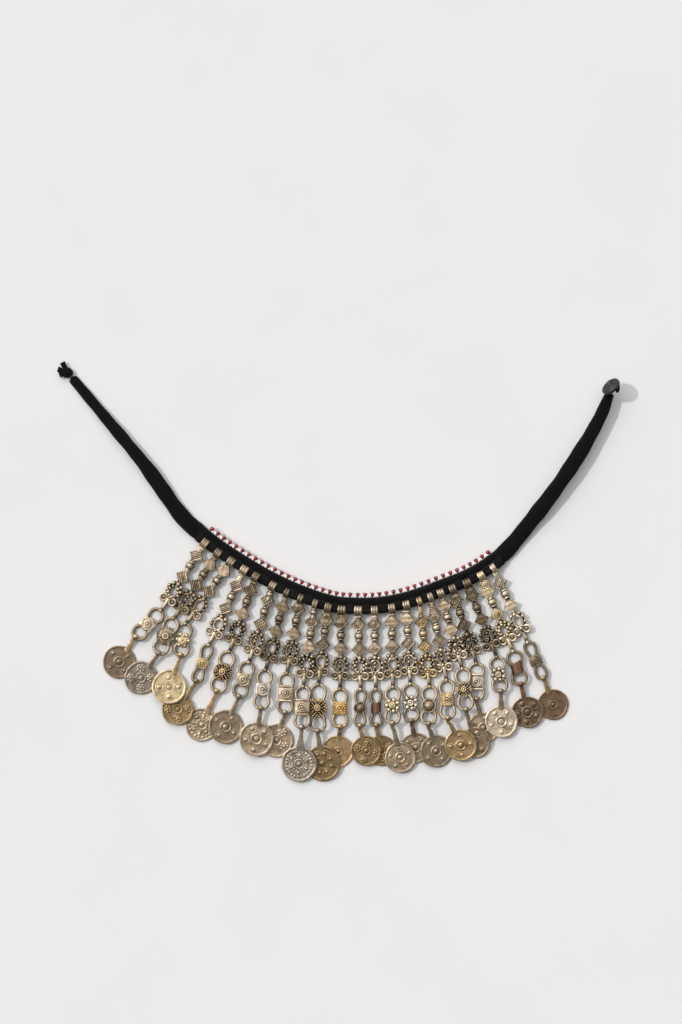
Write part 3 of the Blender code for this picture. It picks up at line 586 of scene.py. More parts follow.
Metal = namedtuple("Metal", "tarnish body worn rough")
# The first colour of each metal is the tone for creases and sides: painted shade mixed with black
# patina.
METALS = {
    "pale_nickel": Metal("#33281D", "#DCC9AF", "#F4E9D4", 0.36),
    "nickel": Metal("#2C2218", "#BFA88E", "#EADBC0", 0.36),
    "dull_nickel": Metal("#271E15", "#A7937B", "#DACAAD", 0.38),
    "dark_nickel": Metal("#211910", "#8B7A66", "#C4B395", 0.40),
    "grey_nickel": Metal("#2C241D", "#B0A292", "#E0D5C4", 0.38),
    "pale_brass": Metal("#37290F", "#DFC8A0", "#F7E6C2", 0.36),
    "brass": Metal("#2C2011", "#BD9F76", "#EAD2A4", 0.36),
    "dark_brass": Metal("#22190C", "#957D5A", "#CFB583", 0.38),
    "gilt": Metal("#3C270C", "#C9A05C", "#F3CF8C", 0.36),
    "copper": Metal("#24150E", "#8F6B54", "#D2A789", 0.38),
    "dim_nickel": Metal("#1C150D", "#716451", "#AB9C80", 0.42),
    "dark_copper": Metal("#170D08", "#5C4032", "#9A7760", 0.42),
    "worn_bronze": Metal("#170F09", "#665240", "#E0CDAE", 0.38),
    "brown_bronze": Metal("#21170F", "#876E57", "#C4A88A", 0.40),
}
metals = {name: aged_metal(f"aged_{name}", *metal) for name, metal in METALS.items()}


def around(count, start=0.0):
    """Angles evenly spaced round a circle, from this share of a step on."""
    return [math.tau * (k + start) / count for k in range(count)]


def shaded_and_worn(piece, reach=RAY_REACH):
    """Stores from 0 to 1 how open each point of the surface lies and how far it juts out. Closed-in
    points get low openness and are drawn dark, which is painted shade mixed with patina; the jut
    marks worn edges.
    """
    mesh = piece.data
    points = [corner.co.copy() for corner in mesh.vertices]
    normals = [corner.normal.copy() for corner in mesh.vertices]
    tree = BVHTree.FromPolygons(points, [tuple(face.vertices) for face in mesh.polygons])
    rays = [
        Vector((math.cos(t) * math.sin(a), math.sin(t) * math.sin(a), math.cos(a)))
        for a, count in RAY_RINGS
        for t in around(count, a)
    ]
    jut = np.zeros(len(points))
    meets = np.ones(len(points))
    for edge in mesh.edges:
        a, b = edge.vertices
        way = (points[b] - points[a]).normalized()
        jut[a] -= way.dot(normals[a])
        jut[b] += way.dot(normals[b])
        meets[a] += 1
        meets[b] += 1
    openness = mesh.attributes.new("openness", "FLOAT", "POINT")
    rubbed = mesh.attributes.new("rubbed", "FLOAT", "POINT")
    for i, (point, normal) in enumerate(zip(points, normals)):
        turn = UP.rotation_difference(normal)
        start = point + normal * RAY_START
        free = 0
        for ray in rays:
            if tree.ray_cast(start, turn @ ray, reach)[0] is None:
                free += 1
        # Sides that do not face up count as less open, so they are drawn darker: painted shade.
        openness.data[i].value = free / len(rays) * (1 - SIDE_SHADE * (1 - max(normal.z, 0.0)))
        rubbed.data[i].value = min(max(2.4 * jut[i] / meets[i], 0.0), 1.0)
    return piece


def primitive(add, place, scale, rotation=(0.0, 0.0, 0.0), **sizes):
    """A primitive at its place. The places and sizes of cast parts are in millimetres."""
    bpy.ops.object.select_all(action="DESELECT")
    add(location=Vector(place) * MM, rotation=rotation, **sizes)
    piece = bpy.context.object
    piece.scale = scale
    return piece


def egg(x, y, z, wide, long, deep, turn=0.0):
    """A cast ball, or one that is drawn out or flattened and turned about Z."""
    add = bpy.ops.mesh.primitive_uv_sphere_add
    turned = (0.0, 0.0, turn)
    return primitive(add, (x, y, z), (wide, long, deep), turned, segments=14, ring_count=9, radius=MM)


def granule(x, y, z, radius, squash=1.0):
    """A round cast ball, lower than it is wide where squash says so."""
    return egg(x, y, z, radius, radius, radius * squash)


def ring(x, y, z, major, minor, stretch=1.0, flat=1.0, rotation=(0.0, 0.0, 0.0)):
    """A cast ring that lies flat unless it is turned."""
    sizes = {"major_radius": major * MM, "minor_radius": minor * MM}
    sizes.update(major_segments=22, minor_segments=8)
    add = bpy.ops.mesh.primitive_torus_add
    return primitive(add, (x, y, z), (1.0, stretch, flat), rotation, **sizes)


def block(x, y, z, width, length, height, soften=0.18):
    """A cast block with softened edges."""
    piece = primitive(bpy.ops.mesh.primitive_cube_add, (x, y, z), (width, length, height), size=MM)
    bpy.ops.object.transform_apply(location=False, rotation=False, scale=True)
    bpy.ops.object.mode_set(mode="EDIT")
    bpy.ops.mesh.select_all(action="SELECT")
    bpy.ops.mesh.bevel(offset=soften * min(width, length, height) * MM, segments=2, affect="EDGES")
    bpy.ops.mesh.select_all(action="SELECT")
    bpy.ops.mesh.subdivide(number_cuts=1)
    bpy.ops.object.mode_set(mode="OBJECT")
    return piece


def thicken(piece, bottom):
    """Makes a plate of the open sheet just made by drawing it down to a flat underside."""
    bpy.ops.object.mode_set(mode="EDIT")
    bpy.ops.mesh.select_all(action="SELECT")
    bpy.ops.mesh.remove_doubles(threshold=SEAM)
    bpy.ops.mesh.select_all(action="SELECT")
    bpy.ops.mesh.extrude_region_move()
    sheet = bmesh.from_edit_mesh(piece.data)
    for corner in sheet.verts:
        if corner.select:
            corner.co.z = bottom
    bmesh.update_edit_mesh(piece.data)
    bpy.ops.mesh.select_all(action="SELECT")
    bpy.ops.mesh.normals_make_consistent(inside=False)
    bpy.ops.object.mode_set(mode="OBJECT")
    return piece


def ribs(value, count):
    """A row of sharp grooves between rounded ribs, from 0 on a rib to 1 in a groove."""
    return (0.5 - 0.5 * math.cos(value * math.tau * count)) ** 1.3


def chased(chasing, a, b):
    """The depth of the chasing on a lozenge, with a and b from -1 to 1 along its sides."""
    edge = max(abs(a), abs(b))
    if edge > 0.90:
        return 0.0
    if chasing == "lines":
        return ribs(a / 2, 6)
    if chasing == "slanted":
        return ribs(b / 2, 6)
    if chasing == "chevron":
        return ribs(max(a, b) / 2, 6) if a + b > -0.3 else 0.25
    if chasing == "nested":
        return ribs(edge / 2, 6)
    if chasing == "granular":
        return max(ribs(a / 2, 4), ribs(b / 2, 4))
    return 0.30 + 0.25 * math.cos(5 * a + b) * math.cos(4 * b)


def lozenge(y, chasing):
    """A lozenge with a raised border and a chased or plain field."""
    half = DIAMOND_HALF / math.sqrt(2)

    def place(u, v):
        a = 2 * u - 1
        b = 2 * v - 1
        edge = max(abs(a), abs(b))
        top = PLATE_HALF + RELIEF * (1 - 0.4 * edge**2) - GROOVE * chased(chasing, a, b)
        top -= 0.30 * MM * ease((edge - 0.93) / 0.07)
        across = (a - b) * half / math.sqrt(2)
        along = (a + b) * half / math.sqrt(2)
        return Vector((across, y + along, top))

    return thicken(sheet_grid("lozenge", 32, 32, place), -PLATE_HALF)


def reeded_strip(name, width, reeds):
    """A bail's strip, bent round about X: v goes over its reeds, then back along its inside."""
    plain = BAIL_OUTER + 0.02 * MM

    def place(u, v):
        turn = math.tau * u
        if v <= REEDED_SHARE:
            share = v / REEDED_SHARE
            x = (share - 0.5) * width
            radius = plain + REED * abs(math.sin(math.pi * reeds * share)) ** 0.7
        else:
            share = (v - REEDED_SHARE) / (1 - REEDED_SHARE)
            x = (0.5 - share) * width
            radius = BAIL_INNER if 0 < share < 1 else plain
        return Vector((x, radius * math.cos(turn), radius * math.sin(turn)))

    return shaded_and_worn(shaped_grid(f"bail_{name}", 36, 6 * reeds + 4, place))


Ball = namedtuple("Ball", "aside down radius")
CLUSTER_BALLS = [
    Ball(0.00, 4.5, 1.32),
    Ball(2.25, 4.9, 1.18),
    Ball(3.35, 7.2, 1.08),
    Ball(3.40, 9.5, 1.00),
    Ball(1.45, 11.3, 0.82),
    Ball(0.00, 12.3, 1.10),
]


def cluster(low, style, hand):
    """The pierced cluster below a lozenge: uneven balls, an oval and, at its foot, two rings."""
    heart = low + HEART_DOWN / MM
    eyes = low + EYE_SHARE * CLUSTER_LENGTH / MM
    parts = [block(0, low + 3.9, 0, 2.0, 2.6, 1.4), ring(0, heart, -0.40, 2.75, 0.85, 1.20, 0.25)]
    if style == "columned":
        parts.append(ring(0, heart, 0.05, 2.50, 0.62, 1.22))
        parts += [granule(0, heart + y, 0.40, 0.88) for y in (-1.6, 0.3)]
        parts.append(block(0, heart, -0.1, 0.9, 6.0, 1.0, 0.3))
    if style == "beaded":
        parts.append(ring(0, heart, -0.25, 2.35, 0.45, 1.25))
        for turn in around(9, 0.5):
            x = 2.35 * math.sin(turn)
            y = heart + 2.95 * math.cos(turn)
            parts.append(granule(x, y, 0.30, hand.uniform(0.70, 1.15)))
    if style == "open":
        parts.append(ring(0, heart, 0.10, 2.30, 0.72, 1.35))
        parts += [granule(x, heart + 0.4, 0.5, 0.45) for x in (-2.3, 2.3)]
    if style == "rayed":
        sun = heart - 0.9
        parts += [ring(0, sun, -0.25, 2.30, 0.50), granule(0, sun, 0.35, 1.20)]
        for turn in around(9, 0.5):
            x = 2.60 * math.sin(turn)
            parts.append(egg(x, sun - 2.60 * math.cos(turn), 0.25, 0.45, 1.15, 0.60, turn))
        parts += [ring(x, heart + 2.5, 0.30, 0.80, 0.40) for x in (-1.5, 1.5)]
    for ball in CLUSTER_BALLS:
        for side in (-1, 1) if ball.aside else (1,):
            x = side * ball.aside + hand.uniform(-0.25, 0.25)
            y = low + ball.down + hand.uniform(-0.35, 0.35)
            radius = ball.radius * hand.uniform(0.84, 1.10)
            parts.append(granule(x, y, hand.uniform(-0.1, 0.4), radius))
    # A flat disc closes each foot ring from below, so that its hole shows dark metal with painted
    # shade in place of the board.
    for x in (-EYE_ASIDE / MM, EYE_ASIDE / MM):
        parts += [ring(x, eyes, 0.15, 1.68, 0.68), granule(x, eyes, -0.10, 1.30, 0.32)]
        if style in ("beaded", "columned"):
            parts.append(granule(x, eyes, 0.05, 0.52))
    return parts


def bar_body(upper, lower, style):
    """The bar from its first lozenge to its hook. Y = 0 is the first lozenge's middle."""
    step = DIAMOND_STEP / MM
    end = (DIAMOND_STEP + CLUSTER_LENGTH + HOOK_LENGTH) / MM
    eyes = step + EYE_SHARE * CLUSTER_LENGTH / MM
    ball_y = (DIAMOND_STEP / 2 - BALL_UP) / MM
    ball = BALL_RADIUS / MM
    parts = [lozenge(0.0, upper), lozenge(DIAMOND_STEP, lower)]
    parts.append(block(0, (step - 1) / 2, 0, 2.6, step - 5.0, 1.4))
    parts.append(egg(0, ball_y, 0.1, ball, 0.86 * ball, BALL_DEPTH / MM))
    parts.append(ring(0, ball_y - 1.95, 0.05, 1.30, 0.42, rotation=UPRIGHT))
    parts.append(ring(0, ball_y + 1.95, 0.05, 1.55, 0.42, rotation=UPRIGHT))
    parts += cluster(step, style, random.Random(f"{upper} {lower} {style}"))
    parts.append(block(0, (eyes + end) / 2 - 0.2, 0.1, HOOK_WIDTH / MM, end - eyes + 1.2, 1.6, 0.3))
    parts.append(granule(0, end - 0.1, 0.45, 1.20))
    return shaded_and_worn(joined("bar_body", parts))


def bar_shank(kind, stop):
    """The neck between the bail and the first lozenge, which it reaches at this distance."""
    inner = BAIL_INNER / MM
    start = BAIL_OUTER / MM + 0.5
    stop /= MM
    half = NECK_HALF / MM
    wide = 1.5 * half if kind in ("long", "trumpet") else 2 * half
    parts = [block(0, (inner + stop) / 2, 0, wide, stop - inner, 1.3, 0.3)]
    if kind == "collared":
        parts.append(block(0, start + 0.4, 0.1, 2.6 * half, 0.8, 1.7, 0.3))
    if kind == "bell":
        parts += [egg(0, start + 1.3, 0.1, 2.6, 2.0, 1.2), granule(0, start + 1.2, 0.8, 0.8)]
    if kind == "fan":
        parts += [ring(0, start + 0.3, 0.3, major, 0.45, 1.2) for major in (2.5, 1.7, 0.9)]
    if kind == "pear":
        parts += [egg(0, start + 1.5, 0.1, 1.9, 1.7, 1.3), egg(0, start + 4.0, 0.1, 1.5, 2.2, 1.1)]
        parts.append(ring(0, start + 0.1, 0, 1.2, 0.4, rotation=UPRIGHT))
    if kind == "long":
        parts.append(ring(0, stop - 0.9, 0, 1.35, 0.45, rotation=UPRIGHT))
    if kind == "trumpet":
        parts += [egg(0, start + 0.6 + 1.1 * k, 0, 1.2 + 0.28 * k, 0.9, 0.9) for k in range(5)]
    if kind == "disc":
        parts += [granule(0, start + 2.0, 0.0, 2.9, 0.38), granule(0, start + 2.0, 0.95, 0.6)]
        parts += [ring(0, start + 2.0, 0.75, major, 0.36) for major in (2.3, 1.3)]
    return shaded_and_worn(joined("shank", parts))


def heading(degrees):
    """The level direction that leans this far to the right of straight down."""
    turn = math.radians(degrees)
    return Vector((math.sin(turn), -math.cos(turn), 0.0))


def moved_copy(name, master, matrix):
    """A copy of a finished master with a mesh of its own, moved by the matrix."""
    piece = bpy.data.objects.new(name, master.data.copy())
    piece.data.transform(matrix)
    bpy.context.scene.collection.objects.link(piece)
    return piece


def carried(piece, metal, node):
    """Finishes a metal piece, sets it in for its node and lets it ride."""
    piece.data.materials.append(metals[metal])
    piece.data.shade_smooth()
    piece.data.set_sharp_from_angle(angle=CAST_CREASE)
    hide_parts(node)
    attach(piece, "root")


Bar = namedtuple("Bar", "metal shank upper lower cluster")
BARS = [Bar(*row.split()) for row in """
    nickel collared slanted lines beaded
    dark_nickel collared plain lines columned
    dull_nickel collared plain lines open
    nickel collared slanted slanted open
    dark_nickel collared lines plain beaded
    dull_nickel pear granular granular columned
    dim_nickel plain plain plain open
    dark_nickel bell slanted plain columned
    dull_nickel pear nested plain beaded
    dark_nickel bell plain nested open
    dark_nickel fan chevron plain columned
    nickel collared nested lines beaded
    nickel plain nested chevron columned
    dull_nickel collared plain chevron open
    nickel collared plain slanted columned
    brass long nested granular beaded
    nickel trumpet nested lines columned
    nickel plain plain plain rayed
    dark_nickel bell granular slanted rayed
    dim_nickel disc granular plain columned
    pale_brass disc plain chevron beaded
    pale_nickel plain slanted plain open
""".strip().splitlines()]
kinds = sorted({(look.upper, look.lower, look.cluster) for look in BARS})
bodies = {kind: bar_body(*kind) for kind in kinds}
strips = {name: reeded_strip(name, *strip) for name, strip in STRIPS.items()}
hooks = []
for i, (row, look) in enumerate(zip(STRANDS, BARS)):
    neck = row.neck * NECK_LENGTH
    length = neck + DIAMOND_STEP + CLUSTER_LENGTH + HOOK_LENGTH
    seat, tangent = on_band(row.along, CORD_INWARD, 0.0)
    way = heading(row.lean)
    hook = seat + way * length + UP * HOOK_HEIGHT
    head = seat + UP * BAR_HEAD_HEIGHT
    outward = Vector((tangent.y, -tangent.x, 0.0))
    lie = frame_at(head, hook - head, UP) @ Matrix.Rotation(BAR_ROLL, 4, "Y")
    hooks.append(hook)
    kind = (look.upper, look.lower, look.cluster)
    body = moved_copy("body", bodies[kind], lie @ Matrix.Translation((0, neck, 0)))
    shank = bar_shank(look.shank, neck - (1 - NECK_LAP) * DIAMOND_HALF)
    shank.data.transform(lie)
    strip = moved_copy("strip", strips[row.strip], frame_at(seat + UP * cord_height, outward, UP))
    bar = joined(f"bar_{i + 1:02d}", [body, shank, strip])
    carried(bar, look.metal, f"strand_{i + 1:02d}")
for master in (*bodies.values(), *strips.values()):
    bpy.data.objects.remove(master)

# The links
# A link of flat wire with a groove along it hangs on each hook, pinched to two round loops.
# A cast boss is soldered across its waist: a cup, dome, flower, star, disc or square, or a
# coil of wire.
LINK_WIRE = 0.5 * MM
WIRE_HALF = 0.85 * MM
LINK_DEEP = 0.72 * MM
LINK_GROOVE = 0.16 * MM
LINK_PINCH = 0.55
WIRE_SLACK = 0.12 * MM
ARC_STEPS = 24
SIDE_STEPS = 32
LINK_ROLL = math.radians(10)
LinkStyle = namedtuple("LinkStyle", "width boss_radius")
LINKS = {
    "small": LinkStyle(6.3 * MM, 3.2 * MM),
    "round": LinkStyle(8.2 * MM, 3.9 * MM),
    "disc": LinkStyle(8.4 * MM, 4.7 * MM),
    "square": LinkStyle(8.2 * MM, 3.7 * MM),
}
BOSS_RADIUS = 3.4 * MM
BOSS_HEIGHT = 0.25 * MM
DISC_RADIUS = 4.2 * MM
COIN_RADIUS = 8.2 * MM
COIN_BAIL = 6.8 * MM
LOOP_STRIP = 0.4 * MM
LOOP_INNER = LINK_WIRE + 0.5 * MM
LOOP_HEIGHT = (LOOP_INNER + LOOP_STRIP) / math.cos(math.pi / 6)


def link_line(style, length):
    """The wire's middle line: round at both ends and pinched between, evenly spaced."""
    reach = style.width / 2 - LINK_WIRE
    half = length / 2
    straight = half - reach
    right = []
    for k in range(1, ARC_STEPS):
        angle = math.pi / 2 * k / ARC_STEPS
        right.append((reach * math.sin(angle), half - reach + reach * math.cos(angle)))
    for k in range(SIDE_STEPS + 1):
        y = straight * (1 - 2 * k / SIDE_STEPS)
        pinch = LINK_PINCH * (0.5 + 0.5 * math.cos(math.pi * y / straight))
        right.append((reach * (1 - pinch), y))
    for k in range(1, ARC_STEPS):
        angle = math.pi / 2 * (1 - k / ARC_STEPS)
        right.append((reach * math.sin(angle), -(half - reach) - reach * math.cos(angle)))
    line = [(0.0, half), *right, (0.0, -half), *[(-x, y) for x, y in reversed(right)], (0.0, half)]
    line = np.array(line)
    gone = np.r_[0.0, np.cumsum(np.linalg.norm(np.diff(line, axis=0), axis=1))]
    return line + np.array([0.0, half]), gone / gone[-1]


def link_wire(style, length):
    """The bent wire, closed on itself. Y runs from the hook to the coin's bail."""
    line, gone = link_line(style, length)

    def spot(share):
        share %= 1.0
        return Vector((np.interp(share, gone, line[:, 0]), np.interp(share, gone, line[:, 1]), 0.0))

    def place(u, v):
        way = spot(u + 0.006) - spot(u - 0.006)
        away = Vector((way.y, -way.x, 0.0)).normalized()
        turn = math.tau * v
        rise = math.sin(turn)
        thick = WIRE_HALF * math.cos(turn) - LINK_GROOVE * math.copysign(
            math.exp(-((rise / 0.3) ** 2)), math.cos(turn)
        )
        return spot(u) + away * thick + UP * (LINK_DEEP * rise)

    return shaped_grid("wire", 84, 16, place)


def petals(count, away, radius, height, start=0.0):
    """A ring of balls."""
    return [
        granule(away * math.cos(t + start), away * math.sin(t + start), height, radius)
        for t in around(count)
    ]


def eye_ring(z, radius, wall):
    """A raised ring with a ball in its middle."""
    return [ring(0, 0, z, radius, wall), granule(0, 0, z - 0.15, radius - 0.6 * wall)]


def boss(style):
    """A cast boss about Z, made once for each style."""
    parts = []
    if style == "cup":
        parts += [granule(0, 0, 0.10, 3.3, 0.24), ring(0, 0, 0.45, 2.55, 0.38)]
        parts += [*eye_ring(0.95, 1.15, 0.42), block(0, 0, 0, 6.6, 5.2, 1.2, 0.3)]
    if style == "dome":
        parts += [ring(0, 0, 0.15, 3.10, 0.50), granule(0, 0, 0.30, 2.5, 0.62)]
        parts.append(granule(0, 0, -0.20, 3.3, 0.20))
    if style == "flower":
        parts += [*petals(7, 2.45, 1.18, 0.25), granule(0, 0, 0.1, 3.2, 0.36)]
        parts += [*petals(7, 2.95, 0.42, 1.05, 0.45), *eye_ring(1.05, 1.0, 0.40)]
    if style == "disc":
        parts += [*petals(18, 3.95, 0.50, 0.25), granule(0, 0, -0.1, 4.3, 0.34)]
        parts += [*petals(14, 3.05, 0.44, 0.80, 0.2), *petals(10, 2.20, 0.40, 1.10)]
        parts += eye_ring(1.30, 1.15, 0.42)
    if style == "grey_disc":
        parts += [*petals(8, 3.0, 0.62, 0.25), granule(0, 0, -0.1, 3.5, 0.34)]
        parts += [*petals(2, 1.9, 0.50, 0.95, 0.5), *eye_ring(0.95, 0.95, 0.40)]
    if style == "square":
        parts.append(block(0, 0, 0.1, 6.6, 6.0, 1.5, 0.25))
        for x in (-1, 1):
            parts += [granule(x * 2.5, y * 1.15, 0.75, 0.55) for y in (-2, -1, 0, 1, 2)]
            parts += [ring(x * 1.35, y, 0.85, 0.55, 0.25) for y in (-2.2, 2.2)]
        parts += eye_ring(1.0, 1.25, 0.42)
    if style == "ringed":
        parts.append(block(0, 0, 0.05, 6.9, 6.4, 1.3, 0.25))
        parts += [block(0, y, 0.3, 6.6, 1.0, 1.5, 0.35) for y in (-3.3, 3.3)]
        parts += [ring(0, 0, 0.65, 2.05, 0.36), *eye_ring(0.85, 1.2, 0.42)]
    if style == "star":
        parts += [*petals(6, 2.6, 1.00, 0.25), granule(0, 0, 0.2, 2.9, 0.34)]
        parts += [*petals(5, 1.6, 0.55, 0.8, 0.6), granule(0, 0, 0.9, 0.7)]
    if style == "coil":
        turn = (math.pi / 2, 0.0, 0.28)
        for y in (-2.1, -1.26, -0.42, 0.42, 1.26, 2.1):
            parts.append(ring(0, y, 0.0, 2.4, 0.46, 0.60, rotation=turn))
        parts.append(block(0, 0, 0, 5.0, 4.6, 1.3, 0.3))
    return shaded_and_worn(joined(f"boss_{style}", parts), FINE_REACH)


def coin_lie(node, lean):
    """How the stamped coin lies: its middle, on its back, with +Y towards the bail."""
    mesh = bpy.data.objects[node].data
    groups = {}
    for face in mesh.polygons:
        if face.normal.z < -0.7:
            key = tuple(round(value, 2) for value in face.normal)
            groups.setdefault(key, []).append(face)
    back = max(groups.values(), key=lambda faces: sum(face.area for face in faces))
    area = sum(face.area for face in back)
    middle = sum((face.center * face.area for face in back), Vector()) / area
    up = -sum((face.normal * face.area for face in back), Vector()).normalized()
    towards = -heading(lean)
    return frame_at(middle, towards - up * towards.dot(up), up)


Link = namedtuple("Link", "metal boss boss_metal")
LOOKS_OF_LINKS = [Link(*row.split()) for row in """
    dark_nickel cup nickel
    dull_nickel grey_disc dark_nickel
    dull_nickel star pale_brass
    dark_nickel cup brass
    dull_nickel disc brass
    dark_nickel cup dull_nickel
    dull_nickel cup grey_nickel
    dull_nickel ringed nickel
    dull_nickel ringed dull_nickel
    dull_nickel disc brass
    brass square gilt
    dark_nickel dome dim_nickel
    dark_nickel coil dark_copper
    dull_nickel flower pale_brass
    dull_nickel flower pale_nickel
    dull_nickel dome dark_nickel
    dull_nickel square brass
    dull_nickel disc pale_brass
    nickel ringed pale_nickel
    dull_nickel flower nickel
    dark_nickel coil dark_copper
    dark_nickel cup dim_nickel
""".strip().splitlines()]
boss_masters = {style: boss(style) for style in sorted({look.boss for look in LOOKS_OF_LINKS})}
coin_places = []
for i, (row, look) in enumerate(zip(STRANDS, LOOKS_OF_LINKS)):
    lie = coin_lie(f"coin_{i + 1:02d}", row.coin_lean)
    coin_places.append(lie)
    eye = lie @ Vector((0, row.coin_size * COIN_RADIUS + row.bail * COIN_BAIL, LOOP_HEIGHT))
    low = eye + heading(row.link_lean) * WIRE_SLACK
    length = (low - hooks[i]).length
    stand = frame_at(hooks[i], low - hooks[i], UP) @ Matrix.Rotation(LINK_ROLL, 4, "Y")
    wire = shaded_and_worn(link_wire(LINKS[row.link], length))
    wire.name = f"link_{i + 1:02d}"
    wire.data.transform(stand)
    carried(wire, look.metal, f"strand_{i + 1:02d}")
    grow = LINKS[row.link].boss_radius / (DISC_RADIUS if look.boss == "disc" else BOSS_RADIUS)
    waist = stand @ Matrix.Translation((0, length / 2, BOSS_HEIGHT))
    waist = waist @ Matrix.Diagonal((grow, grow, 1.0, 1.0))
    crest = moved_copy(f"boss_{i + 1:02d}", boss_masters[look.boss], waist)
    carried(crest, look.boss_metal, f"strand_{i + 1:02d}")
for master in boss_masters.values():
    bpy.data.objects.remove(master)

# The coins
# Thin coins struck with bosses, rings and grains in low relief. A strip is soldered to
# each coin's face, goes over the link's wire, and is curled back to a small ball.
COIN_RIM = 1.1 * MM
COIN_FIELD = 0.75 * MM
LOOP_WIDTH = 2.2 * MM
TAIL_LAP = 2.2 * MM
TAIL_THICK = 0.6 * MM
CURL_RADIUS = 1.20 * MM
CENTRE_RISE = 0.52 * MM
BOSS_RISE = 0.42 * MM
RING_RISE = 0.26 * MM
GRAIN_RISE = 0.36 * MM
FINE_GRAIN_RISE = 0.28 * MM
RAY_RISE = 0.30 * MM
HALO_RISE = 0.10 * MM
DENT = 0.10 * MM
ROSETTE_LEAVES = 7
CoinDesign = namedtuple("CoinDesign", "centre ring bosses boss_at boss_size grains grain_at rays")
DESIGNS = {
    "quincunx": CoinDesign(0.15, 0.0, 4, 0.56, 0.15, 0, 0.0, 0),
    "ringed_boss": CoinDesign(0.14, 0.29, 4, 0.62, 0.13, 0, 0.0, 0),
    "five_boss": CoinDesign(0.15, 0.30, 5, 0.64, 0.14, 0, 0.0, 0),
    "rosettes": CoinDesign(0.14, 0.28, 4, 0.60, 0.14, 7, 0.0, 0),
    "granulated": CoinDesign(0.12, 0.26, 6, 0.50, 0.10, 24, 0.72, 0),
    "nine_boss": CoinDesign(0.15, 0.0, 8, 0.54, 0.12, 0, 0.0, 0),
    "cross": CoinDesign(0.15, 0.30, 4, 0.52, 0.12, 20, 0.74, 4),
    "broad_boss": CoinDesign(0.19, 0.30, 5, 0.64, 0.14, 0, 0.0, 0),
    "bold": CoinDesign(0.19, 0.33, 5, 0.62, 0.17, 0, 0.0, 0),
    "plain_ring": CoinDesign(0.12, 0.26, 0, 0.0, 0.0, 0, 0.0, 0),
    "smooth": CoinDesign(0.18, 0.40, 3, 0.62, 0.18, 0, 0.0, 0),
}


def hump(distance, radius):
    """A rounded rise of height 1 over this radius."""
    share = abs(distance) / radius
    return math.sqrt(1 - share * share) if share < 1 else 0.0


def struck_height(design, x, y):
    """The relief above the field at a place given as shares of the coin's radius."""
    r = math.hypot(x, y)
    t = math.atan2(y, x)
    if r > 0.985:
        return (COIN_RIM - COIN_FIELD) * 0.3
    height = 0.7 * (COIN_RIM - COIN_FIELD) * hump(r - 0.935, 0.07)
    height = max(height, CENTRE_RISE * hump(r, design.centre) ** 0.8)
    if design.ring:
        height = max(height, RING_RISE * hump(r - design.ring, 0.055))
    for k in range(design.bosses):
        turn = math.tau * (k + 0.5) / design.bosses
        bx = design.boss_at * math.cos(turn)
        by = design.boss_at * math.sin(turn)
        away = math.hypot(x - bx, y - by)
        height = max(height, BOSS_RISE * hump(away, design.boss_size))
        height = max(height, HALO_RISE * hump(away - design.boss_size * 1.5, 0.035))
        if design.grains == ROSETTE_LEAVES:
            leaf = abs(math.cos(ROSETTE_LEAVES / 2 * math.atan2(y - by, x - bx)))
            height = max(height, GRAIN_RISE * hump(away - design.boss_size * 1.35, 0.07) * leaf)
    if design.grain_at:
        wave = max(math.cos(design.grains * t), 0.0)
        height = max(height, GRAIN_RISE * hump(r - design.grain_at, 0.065) * wave)
        fine = max(math.cos(14 * t), 0.0)
        height = max(height, FINE_GRAIN_RISE * hump(r - 0.38, 0.055) * fine)
    if design.rays:
        arm = max(math.cos(design.rays * t), 0.0) ** 6
        height = max(height, RAY_RISE * arm * (0.2 < r < 0.62))
    return height


def struck_coin(name):
    """A struck coin with its real thickness, about Z, on its back."""
    design = DESIGNS[name]

    def place(u, v):
        turn = math.tau * v
        r = u**0.9
        wobble = 1 + 0.012 * math.sin(3 * turn + 0.4) + 0.008 * math.sin(5 * turn + 2)
        x = r * math.cos(turn)
        y = r * math.sin(turn)
        dent = DENT * math.sin(3.1 * x + 1.0) * math.sin(2.7 * y + 0.5)
        top = COIN_FIELD + struck_height(design, x, y) + dent * (1 - r * r)
        return Vector((x * wobble * COIN_RADIUS, y * wobble * COIN_RADIUS, top))

    return shaded_and_worn(thicken(sheet_grid(f"coin_{name}", 36, 120, place), 0.0), FINE_REACH)


